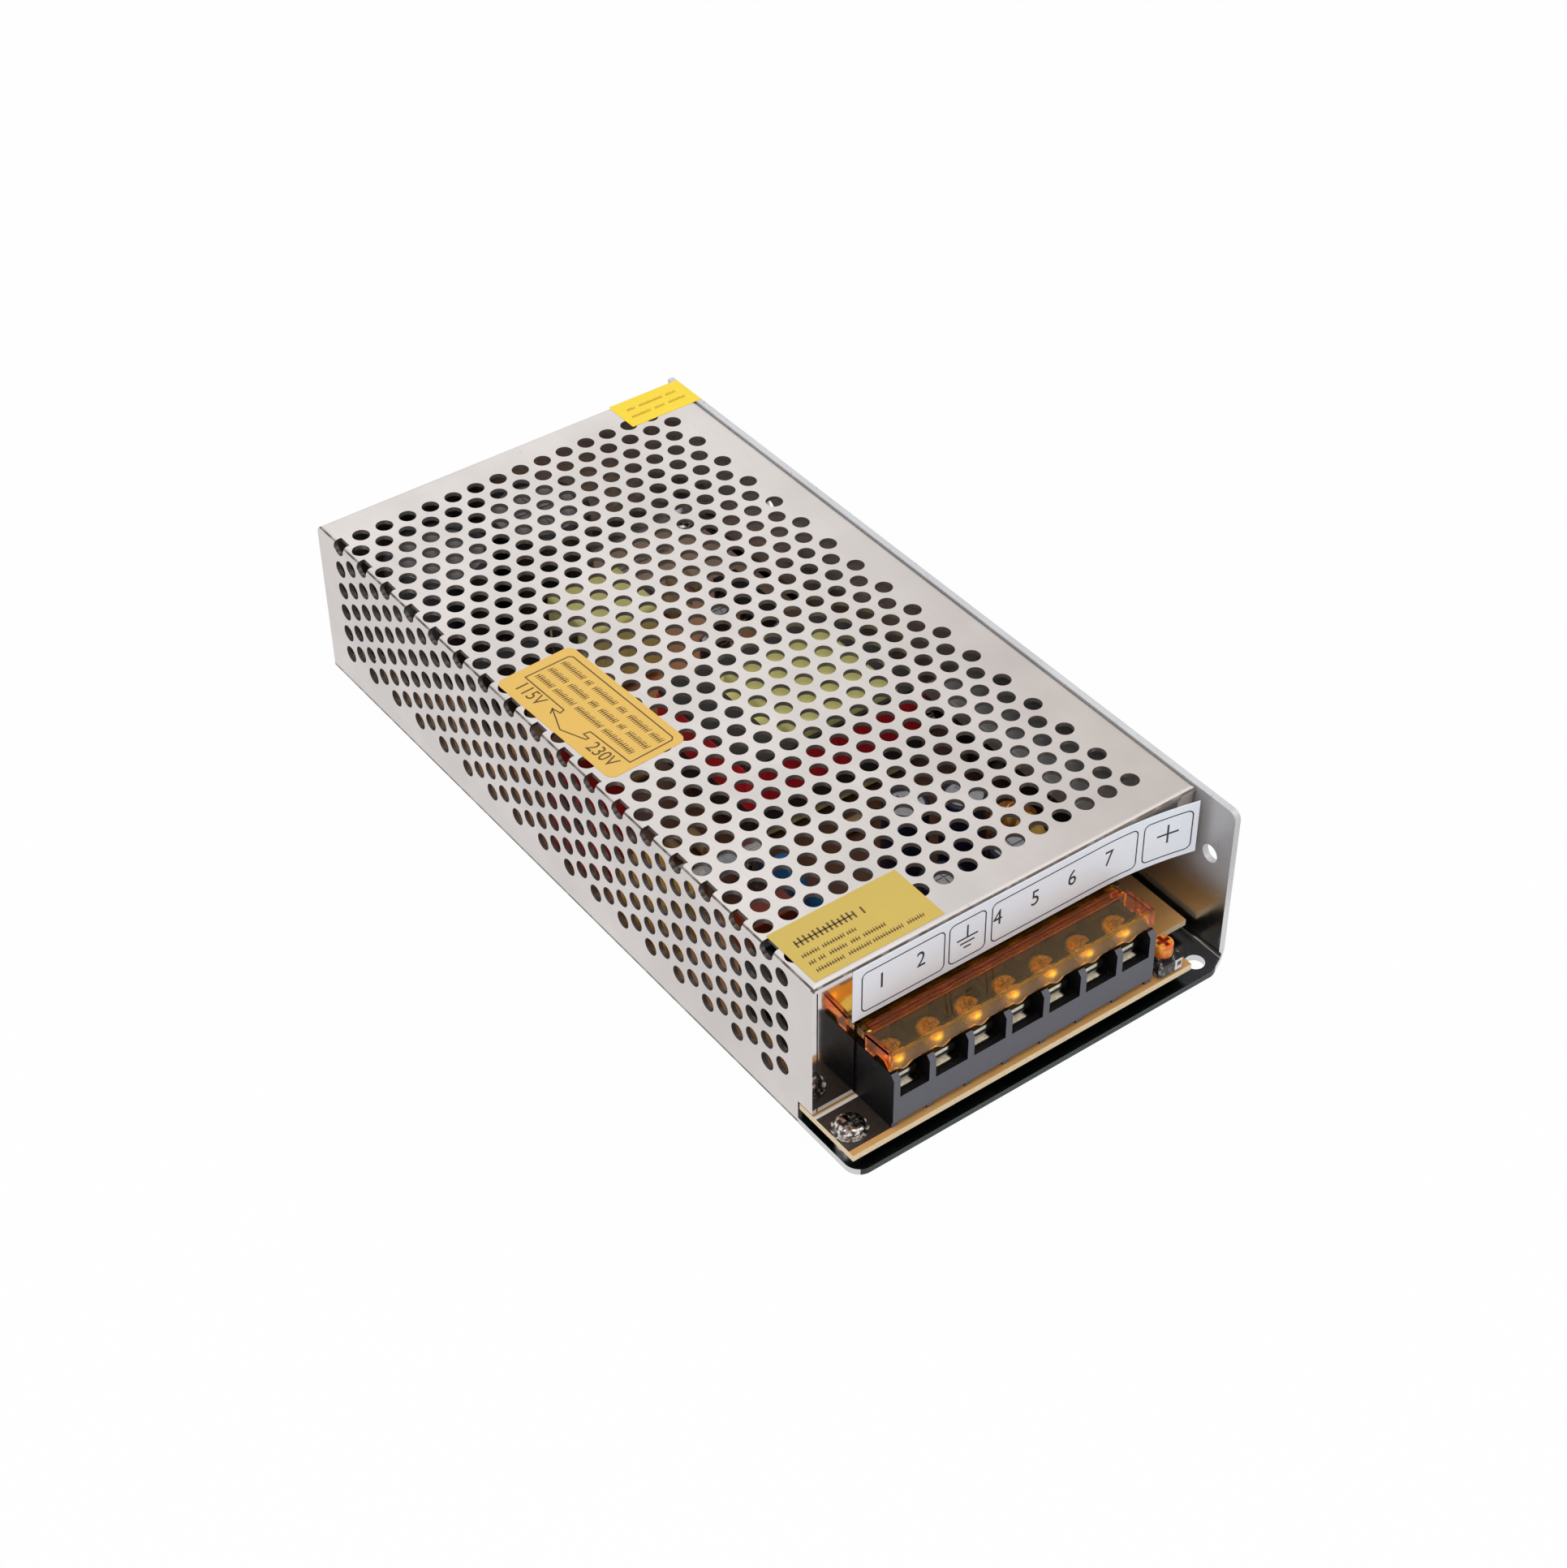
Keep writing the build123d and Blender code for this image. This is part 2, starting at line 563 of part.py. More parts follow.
# Voltage selector
def selector_body():
    """Upright switch housing with a slot in its left face and six pins."""
    x0, x1, y0, y1, z1 = SELECTOR
    low = BOARD_TOP + 1.0
    body = slab(x0, x1, y0, y1, low, z1)
    body = chamfer(body.edges().filter_by(Axis.X), 0.6)
    mid = (y0 + y1) / 2
    half = SLOT_HALF
    body -= slab(x0 - 1, x0 + SLOT_DEPTH, mid - half, mid + half, SLOT_Z - SLOT_RISE, SLOT_Z + SLOT_RISE)
    for y in (mid - 4, mid, mid + 4):
        for x in (x0 + 2.2, x1 - 2.2):
            body += slab(x - 0.4, x + 0.4, y - 0.8, y + 0.8, BOARD_TOP, low)
    return body


def selector_slider():
    """Ribbed slider at the front end of its slot."""
    x0, x1, y0, y1, z1 = SELECTOR
    mid = (y0 + y1) / 2
    low = mid - SLOT_HALF + 0.1
    high = low + SLIDER_L
    body = slab(x0 - 0.5, x0 + SLOT_DEPTH - 0.1, low, high, SLOT_Z - SLOT_RISE + 0.1, SLOT_Z + SLOT_RISE - 0.1)
    for i in range(1, 4):
        y = low + SLIDER_L * i / 4
        body -= slab(x0 - 1, x0 + 0.1, y - 0.3, y + 0.3, SLOT_Z - SLOT_RISE - 1, SLOT_Z + SLOT_RISE + 1)
    return body


# Main transformer
def transformer_core():
    """Ferrite ring of two E halves, its middle legs inside the winding."""
    x0, x1, y0, y1 = CORE
    body = slab(x0, x1, y0, y1, CORE_LOW, CORE_TOP)
    body = chamfer(body.edges().filter_by(Axis.Z), 0.8)
    wx0, wx1, wy0, wy1 = CORE_WINDOW
    body -= slab(wx0, wx1, wy0, wy1, CORE_LOW - 1, CORE_TOP + 1)
    mid = (x0 + x1) / 2
    body -= slab(mid - 0.1, mid + 0.1, y0 - 1, y0 + 0.4, CORE_LOW - 1, CORE_TOP + 1)
    body -= slab(mid - 0.1, mid + 0.1, y1 - 0.4, y1 + 1, CORE_LOW - 1, CORE_TOP + 1)
    return body


def transformer_winding():
    """Taped coil, swelling over the core, on a bobbin foot with pins."""
    wx0, wx1, wy0, wy1 = CORE_WINDOW
    body = slab(wx0, wx1, wy0, wy1, CORE_LOW, CORE_TOP)
    cap = slab(*WINDING_CAP, CORE_TOP, WINDING_TOP)
    cap = fillet(cap.edges().filter_by(lambda e: e.center().Z > WINDING_TOP - 0.1), 1.2)
    body += cap
    body += slab(CORE[0] + 3, CORE[1] - 3, CORE[2] + 1, CORE[3] - 1, CORE_LOW - 3, CORE_LOW)
    for i in range(6):
        for x in (CORE[0] + 5, CORE[1] - 5):
            y = CORE[2] + 4 + (CORE[3] - CORE[2] - 8) * i / 5
            body += post(x, y, BOARD_TOP, CORE_LOW - 3, 0.5)
    return body


def transformer_belt():
    """Tape round the core's outside."""
    x0, x1, y0, y1 = CORE
    outer = slab(x0 - BELT_T, x1 + BELT_T, y0 - BELT_T, y1 + BELT_T, CORE_TOP - BELT_DROP - BELT_W,
                 CORE_TOP - BELT_DROP)
    outer = chamfer(outer.edges().filter_by(Axis.Z), 0.8)
    inner = slab(x0, x1, y0, y1, CORE_LOW, CORE_TOP)
    inner = chamfer(inner.edges().filter_by(Axis.Z), 0.8)
    return outer - inner


# Driver transformer
def driver_core():
    """Small ferrite core seen at both ends of its coil."""
    x, y = DRIVER
    reach = DRIVER_HALF_X + 3
    low = BOARD_TOP + 3
    high = DRIVER_TOP - 3
    left = slab(x - reach, x - DRIVER_HALF_X, y - 3, y + 3, low, high)
    right = slab(x + DRIVER_HALF_X, x + reach, y - 3, y + 3, low, high)
    return Compound(children=[left, right])


def driver_winding():
    """Taped coil of the driver transformer on its bobbin."""
    x, y = DRIVER
    half = DRIVER_HALF_X
    deep = DRIVER_HALF_Y
    body = slab(x - half, x + half, y - deep, y + deep, BOARD_TOP + 2, DRIVER_TOP)
    body = fillet(body.edges().filter_by(lambda e: e.center().Z > DRIVER_TOP - 0.1), 1.2)
    for dx in (1.5 - half, half - 1.5):
        for dy in (-5, 0, 5):
            body += post(x + dx, y + dy, BOARD_TOP, BOARD_TOP + 2, 0.5)
    return body


# Capacitors
def can(x, y, r, top, gap=0.0):
    """Electrolytic capacitor: sleeve rim, sunk aluminium top with a cross vent, groove near its foot."""
    low = BOARD_TOP + gap
    body = post(x, y, low, top, r)
    body = fillet(body.edges().filter_by(lambda e: e.center().Z > top - 0.01), 0.7)
    body -= post(x, y, top - 0.4, top + 1, r * 0.8)
    body += post(x, y, top - 0.5, top - 0.25, r * 0.8)
    arm = r * 0.6
    body -= slab(x - arm, x + arm, y - 0.2, y + 0.2, top - 0.45, top)
    body -= slab(x - 0.2, x + 0.2, y - arm, y + arm, top - 0.45, top)
    groove = post(x, y, low + 2.5, low + 3.5, r + 1) - post(x, y, low + 2, low + 4, r - 0.4)
    return body - groove


def bulk_capacitors():
    """Two mains reservoir capacitors."""
    return Compound(children=[can(x, y, BULK_R, BULK_TOP) for x, y in BULK])


def output_capacitors():
    """Output filter capacitors."""
    return Compound(children=[can(x, y, OUTPUT_R, OUTPUT_TOP) for x, y in OUTPUT_CANS])


def small_capacitors():
    """Small control-side electrolytic capacitors."""
    return Compound(children=[can(x, y, 2.5, BOARD_TOP + 11.0) for x, y in SMALL_CANS])


def boxed_capacitor(place):
    """Film capacitor in a moulded box."""
    x0, x1, y0, y1, top = place
    body = slab(x0, x1, y0, y1, BOARD_TOP, top)
    body = fillet(body.edges().filter_by(Axis.Z), 0.8)
    return fillet(body.edges().filter_by(lambda e: e.center().Z > top - 0.01), 0.6)


def x_capacitor():
    """Yellow mains suppression capacitor."""
    return boxed_capacitor(X_CAP)


def film_capacitor():
    """Dipped film capacitor."""
    return boxed_capacitor(FILM_CAP)


def disc_capacitors():
    """Standing ceramic discs on wire legs."""
    out = []
    for x, y in DISCS:
        mid = BOARD_TOP + 3.0 + DISC_R
        disc = bar_x(x - 1.6, x + 1.6, y, mid, DISC_R)
        disc = fillet(disc.edges().filter_by(GeomType.CIRCLE), 1.2)
        for dy in (-2.5, 2.5):
            disc += post(x, y + dy, BOARD_TOP, mid - DISC_R * 0.5, 0.35)
        out.append(disc)
    return Compound(children=out)


# Chokes
def toroid(x, y, r, ring, top_z, upright):
    """Core ring of a choke, lying or standing."""
    torus = Torus(r, ring)
    if upright:
        return Pos(x, y, top_z) * Rot(0, 90, 0) * torus
    return Pos(x, y, top_z) * torus


def output_choke_core():
    """Yellow powder ring of the output choke."""
    ring = toroid(*CHOKE, CHOKE_R, CHOKE_RING, CHOKE_Z, True)
    return ring


def output_choke_winding():
    """Enamelled copper turns of flat wire, each one a ring round the core's section."""
    out = []
    inner = CHOKE_RING + 0.05
    outer = inner + 2 * CHOKE_WIRE
    for i in range(CHOKE_TURNS):
        angle = CHOKE_GAP + (360 - 2 * CHOKE_GAP) * i / (CHOKE_TURNS - 1)
        turn = Cylinder(outer, 2 * CHOKE_WIRE)
        turn = chamfer(turn.edges().filter_by(GeomType.CIRCLE), CHOKE_WIRE * 0.4)
        turn -= Cylinder(inner, 4 * CHOKE_WIRE)
        turn = Rot(0, 0, angle) * Pos(CHOKE_R, 0, 0) * Rot(90, 0, 0) * turn
        turn = Pos(*CHOKE, CHOKE_Z) * Rot(0, 90, 0) * turn
        if i in (0, CHOKE_TURNS - 1):
            # The first and last turn run on down to the board
            side = 1 if i == 0 else -1
            reach = CHOKE_R + CHOKE_RING + CHOKE_WIRE
            y = CHOKE[1] + side * reach * math.sin(math.radians(CHOKE_GAP))
            z = CHOKE_Z - reach * math.cos(math.radians(CHOKE_GAP))
            turn += post(CHOKE[0], y, BOARD_TOP, z, CHOKE_WIRE)
        out.append(turn)
    return Compound(children=out)


def line_choke():
    """Mains filter choke: bobbin with two sectioned coils on a ferrite frame."""
    x, y = LINE_CHOKE
    body = slab(x - 9, x + 9, y - 8, y + 8, BOARD_TOP, BOARD_TOP + 2)
    for dx in (-5, 5):
        body += bar_y(x + dx, y - 6.5, y + 6.5, BOARD_TOP + 8.2, 4.4)
    for dy in (-7.2, 0, 7.2):
        body += slab(x - 9, x + 9, y + dy - 0.6, y + dy + 0.6, BOARD_TOP + 2, BOARD_TOP + 13)
    return body


# Mains input parts
def fuse():
    """Glass tube fuse between two end caps."""
    x0, x1, y, z = FUSE
    body = bar_x(x0 + 4, x1 - 4, y, z, 2.3)
    body += bar_x(x0, x0 + 5, y, z, 2.6)
    body += bar_x(x1 - 5, x1, y, z, 2.6)
    return body


def fuse_clips():
    """Two sprung clips that carry the fuse."""
    x0, x1, y, z = FUSE
    out = []
    for x in (x0 + 1.2, x1 - 4.2):
        clip = slab(x, x + 3, y - 3.4, y - 2.6, BOARD_TOP, z + 2.4)
        clip += slab(x, x + 3, y + 2.6, y + 3.4, BOARD_TOP, z + 2.4)
        clip += slab(x, x + 3, y - 3.4, y + 3.4, z - 3.4, z - 2.6)
        out.append(clip)
    return Compound(children=out)


def bridge_rectifier():
    """Flat four-leg rectifier standing on its legs."""
    x, y = BRIDGE
    body = slab(x - 10, x + 10, y - 1.9, y + 1.9, BOARD_TOP + 4, BOARD_TOP + 19)
    body = chamfer(body.edges().filter_by(Axis.Y).sort_by(lambda e: e.center().X - e.center().Z)[0], 2.5)
    body -= bar_y(x, y - 5, y + 5, BOARD_TOP + 14, 1.6)
    for dx in (-7.5, -2.5, 2.5, 7.5):
        body += slab(x + dx - 0.5, x + dx + 0.5, y - 0.3, y + 0.3, BOARD_TOP, BOARD_TOP + 4)
    return body


def thermistor():
    """Dark inrush-limiting disc."""
    x, y = THERMISTOR
    mid = BOARD_TOP + 9.0
    disc = bar_x(x - 2, x + 2, y, mid, 5.5)
    disc = fillet(disc.edges().filter_by(GeomType.CIRCLE), 1.4)
    for dy in (-2.5, 2.5):
        disc += post(x, y + dy, BOARD_TOP, mid - 3, 0.4)
    return disc


# Power stage against the chassis wall
def heat_spreader():
    """Aluminium angle on the chassis wall that carries the power parts."""
    wall = RIGHT - CHASSIS_T
    y0, y1, top = SPREADER
    body = slab(wall - 4.0, wall, y0, y1, BOARD_TOP + 2, top)
    body += slab(wall - SHELF_REACH, wall, y0, y1, top - 3.0, top)
    return fillet(body.edges().filter_by(Axis.Y).sort_by(lambda e: e.center().X)[0], 0.8)


def power_parts():
    """Flat power packages on the spreader's face, three legs each."""
    wall = RIGHT - CHASSIS_T
    out = []
    for y in POWER_Y:
        face = wall - 4.0
        part = slab(face - 4.6, face, y - 5.1, y + 5.1, BOARD_TOP + 6, BOARD_TOP + 16)
        for dy in (-2.54, 0, 2.54):
            part += slab(face - 2.8, face - 2.2, y + dy - 0.4, y + dy + 0.4, BOARD_TOP, BOARD_TOP + 6)
        out.append(part)
    return Compound(children=out)


def control_chips():
    """Control circuit packages with their rows of legs."""
    out = []
    for x, y in CHIPS:
        chip = slab(x - 3.2, x + 3.2, y - 9.5, y + 9.5, BOARD_TOP + 0.8, BOARD_TOP + 4.2)
        for side in (-1, 1):
            for i in range(7):
                leg = y - 7.62 + 2.54 * i
                edge = x + side * 3.2
                chip += slab(min(edge, edge + side * 0.8), max(edge, edge + side * 0.8), leg - 0.4, leg + 0.4,
                             BOARD_TOP, BOARD_TOP + 2.6)
        out.append(chip)
    return Compound(children=out)


def resistors():
    """Axial resistors lying on bent leads."""
    out = []
    for x, y, along_x, r in RESISTORS:
        z = BOARD_TOP + r + 0.6
        reach = 5.0
        if along_x:
            body = bar_x(x - 3.2, x + 3.2, y, z, r) + bar_x(x - reach, x + reach, y, z, 0.3)
            feet = [(x - reach, y), (x + reach, y)]
        else:
            body = bar_y(x, y - 3.2, y + 3.2, z, r) + bar_y(x, y - reach, y + reach, z, 0.3)
            feet = [(x, y - reach), (x, y + reach)]
        for fx, fy in feet:
            body += post(fx, fy, BOARD_TOP, z, 0.3)
            body += Pos(fx, fy, z) * Sphere(0.3)
        out.append(body)
    return Compound(children=out)


def jumper_wires():
    """Tinned links on the board."""
    out = []
    for x0, x1, y in JUMPERS:
        z = BOARD_TOP + JUMPER_R
        out.append(bar_x(x0, x1, y, z, JUMPER_R))
    return Compound(children=out)


# Places on the board, from the outline of each part
VOLTAGE_LABEL = (LEFT + 12.5, 7.2, 19.6, 40.2, 2.8, 2.0)
FRONT_LABEL = (LEFT + 17.3, COVER_FRONT + 9.3, 31.0, 15.5, 0.0, 0.3)
CORNER_SEAL = (RIGHT - 9.85, COVER_BACK - 5.35, 19.5, 10.1, 0.0, 0.3)
TRIMMER = (32.6, -95.0)
TRIMMER_SIZE = 6.4
TRIMMER_TOP = BOARD_TOP + 3.4
ROTOR_R = 2.2
ROTOR_TOP = TRIMMER_TOP + 3.6
SELECTOR = (-46.6, -38.2, -9.0, 11.0, 30.0)
SLOT_HALF = 5.5
SLOT_DEPTH = 2.5
SLOT_Z = 23.0
SLOT_RISE = 2.2
SLIDER_L = 6.0
CORE = (-14.5, 32.5, -18.0, 15.5)
CORE_WINDOW = (-4.0, 22.0, -12.5, 10.0)
WINDING_CAP = (-1.8, 25.4, -17.0, 8.5)
CORE_LOW = BOARD_TOP + 5.0
CORE_TOP = 30.0
WINDING_TOP = 32.2
BELT_T = 0.3
BELT_W = 10.0
BELT_DROP = 1.4
DRIVER = (-3.1, 52.4)
DRIVER_HALF_X = 9.5
DRIVER_HALF_Y = 9.0
DRIVER_TOP = 26.0
BULK = [(-30.5, 77.0), (-4.0, 78.5)]
BULK_R = 12.5
BULK_TOP = 36.0
OUTPUT_CANS = [(6.3, -44.0), (17.8, -49.0), (-1.5, -66.0), (15.5, -67.0)]
OUTPUT_R = 5.0
OUTPUT_TOP = 28.0
SMALL_CANS = [(14.0, 36.0), (22.0, 44.0), (-24.0, 44.0), (30.0, 30.0)]
X_CAP = (-46.6, -38.0, -33.0, -16.0, 20.5)
FILM_CAP = (-34.0, -22.0, -46.0, -38.0, 17.0)
DISCS = [(-17.0, -35.0), (-17.0, -47.0)]
DISC_R = 5.0
CHOKE = (27.2, -57.0)
CHOKE_R = 5.6
CHOKE_RING = 2.6
CHOKE_WIRE = 0.45
CHOKE_Z = BOARD_TOP + 9.6
CHOKE_TURNS = 13
CHOKE_GAP = 30.0
LINE_CHOKE = (-33.0, -60.0)
FUSE = (-37.0, -17.0, -25.5, 15.0)
BRIDGE = (-30.0, 50.0)
THERMISTOR = (-24.0, 30.0)
SPREADER = (-68.0, -19.0, 31.0)
SHELF_REACH = 16.0
POWER_Y = [-58.0, -42.0, -26.0]
CHIPS = [(36.0, 52.0)]
RESISTORS = [(-20.0, 16.0, True, 1.2), (-20.0, 21.0, True, 1.2), (14.0, 20.0, True, 1.6),
             (26.0, 66.0, False, 1.2), (30.0, 66.0, False, 1.2), (20.0, 60.0, False, 2.2),
             (-22.0, -10.0, False, 1.6), (-27.0, -8.0, False, 1.2), (8.0, -25.0, True, 1.6)]
JUMPERS = [(20.0, 34.0, 78.0), (20.0, 34.0, 82.0)]
JUMPER_R = 0.4

NODES = {
    "chassis": chassis,
    "cover": cover,
    "circuit_board": circuit_board,
    "board_standoffs": board_standoffs,
    "board_screws": board_screws,
    "cover_screws": cover_screws,
    "terminal_block": terminal_block,
    "terminal_contacts": terminal_contacts,
    "terminal_clamps": terminal_clamps,
    "terminal_screws": terminal_screws,
    "terminal_cover_rear": terminal_cover_rear,
    "terminal_cover": terminal_cover,
    "terminal_label": terminal_label,
    "voltage_label": voltage_label,
    "front_label": front_label,
    "corner_seal": corner_seal,
    "trimmer_base": trimmer_base,
    "trimmer_rotor": trimmer_rotor,
    "selector_body": selector_body,
    "selector_slider": selector_slider,
    "transformer_core": transformer_core,
    "transformer_winding": transformer_winding,
    "transformer_belt": transformer_belt,
    "driver_core": driver_core,
    "driver_winding": driver_winding,
    "bulk_capacitors": bulk_capacitors,
    "output_capacitors": output_capacitors,
    "small_capacitors": small_capacitors,
    "x_capacitor": x_capacitor,
    "film_capacitor": film_capacitor,
    "disc_capacitors": disc_capacitors,
    "output_choke_core": output_choke_core,
    "output_choke_winding": output_choke_winding,
    "line_choke": line_choke,
    "fuse": fuse,
    "fuse_clips": fuse_clips,
    "bridge_rectifier": bridge_rectifier,
    "thermistor": thermistor,
    "heat_spreader": heat_spreader,
    "power_parts": power_parts,
    "control_chips": control_chips,
    "resistors": resistors,
    "jumper_wires": jumper_wires,
}


def main():
    """Build and export every node."""
    os.makedirs("parts", exist_ok=True)
    for name, make in NODES.items():
        export_step(make(), f"parts/{name}.step")
        print(name)


if __name__ == "__main__":
    main()
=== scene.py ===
"""Looks of an enclosed switching power supply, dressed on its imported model."""

import logging
import math
from dataclasses import dataclass, field
from enum import Enum
from functools import reduce
from operator import add
from typing import Any, Callable, Iterable, Union

import bmesh
import bpy
import numpy as np
from mathutils import Matrix

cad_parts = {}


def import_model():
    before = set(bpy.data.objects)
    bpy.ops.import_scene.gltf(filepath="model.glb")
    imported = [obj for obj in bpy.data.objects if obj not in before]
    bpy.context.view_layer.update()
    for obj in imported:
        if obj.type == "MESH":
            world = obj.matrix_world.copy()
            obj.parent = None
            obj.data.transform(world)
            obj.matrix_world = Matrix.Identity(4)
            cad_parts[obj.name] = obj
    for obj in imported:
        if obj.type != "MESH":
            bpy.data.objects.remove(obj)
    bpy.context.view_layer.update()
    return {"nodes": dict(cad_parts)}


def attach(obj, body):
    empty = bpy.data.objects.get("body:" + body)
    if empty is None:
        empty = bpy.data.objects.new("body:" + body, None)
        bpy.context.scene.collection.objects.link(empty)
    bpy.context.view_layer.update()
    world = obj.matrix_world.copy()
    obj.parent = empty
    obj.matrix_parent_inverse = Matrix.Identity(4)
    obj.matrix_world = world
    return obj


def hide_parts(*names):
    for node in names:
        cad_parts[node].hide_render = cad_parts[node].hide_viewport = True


log = logging.getLogger("power_supply")

MM = 0.001
# Specular level of plastics that show no clear shine
SHEEN = 0.16
# Places that several sub-assemblies share, in millimetres
COVER_FRONT = -85.6
COVER_TOP = 39.85
CORNER_SCREW = (-45.2, -92.5)

Colour = tuple[float, float, float]
Point = tuple[float, float, float]
Number = Union[float, "Value"]
Place = Callable[[np.ndarray], np.ndarray]
Profile = tuple[tuple[float, float], ...]
Rows = tuple[tuple[float, Profile], ...]


def paint(red: int, green: int, blue: int) -> Colour:
    """Linear colour of a screen colour given as 0 to 255."""
    scaled = np.array([red, green, blue]) / 255.0
    linear = np.where(scaled <= 0.04045, scaled / 12.92, ((scaled + 0.055) / 1.055) ** 2.4)
    return tuple(float(v) for v in linear)


def shade(colour: Colour, share: float, lift: float = 0.0) -> Colour:
    """Colour scaled by a share and lifted, at most white."""
    return tuple(min(1.0, c * share + lift) for c in colour)


# Shader maths


class Value:
    """A number or colour that varies over a surface; numbers take part in Python sums."""

    def __init__(self, shader: "Shader", socket: bpy.types.NodeSocket) -> None:
        """Keep the socket and the shader that it belongs to."""
        self.shader = shader
        self.socket = socket

    def _join(self, operation: str, *inputs: Number) -> "Value":
        """Add one Math node."""
        settings = {"operation": operation}
        return self.shader.node("ShaderNodeMath", settings, dict(enumerate(inputs)))

    def __add__(self, other: Number) -> "Value":
        """Sum."""
        return self._join("ADD", self, other)

    def __radd__(self, other: Number) -> "Value":
        """Sum, number first."""
        return self._join("ADD", other, self)

    def __sub__(self, other: Number) -> "Value":
        """Difference."""
        return self._join("SUBTRACT", self, other)

    def __rsub__(self, other: Number) -> "Value":
        """Difference, number first."""
        return self._join("SUBTRACT", other, self)

    def __mul__(self, other: Number) -> "Value":
        """Product."""
        return self._join("MULTIPLY", self, other)

    def __rmul__(self, other: Number) -> "Value":
        """Product, number first."""
        return self._join("MULTIPLY", other, self)

    def __gt__(self, other: Number) -> "Value":
        """One where this value is the larger."""
        return self._join("GREATER_THAN", self, other)

    def __lt__(self, other: Number) -> "Value":
        """One where this value is the smaller."""
        return self._join("LESS_THAN", self, other)

    def most(self, other: Number) -> "Value":
        """Larger of the two."""
        return self._join("MAXIMUM", self, other)

    def between(self, low: float, high: float) -> "Value":
        """One between two bounds."""
        return (self > low) * (self < high)

    def off(self, centre: float) -> "Value":
        """Distance from a centre."""
        return self._join("ABSOLUTE", self - centre)

    def fraction(self) -> "Value":
        """What stands past the whole number below."""
        return self._join("FRACT", self)

    def rise(self, low: float, high: float) -> "Value":
        """Smooth step from zero at low to one at high."""
        settings = {"interpolation_type": "SMOOTHSTEP"}
        return self.shader.node("ShaderNodeMapRange", settings, {0: self, 1: low, 2: high})


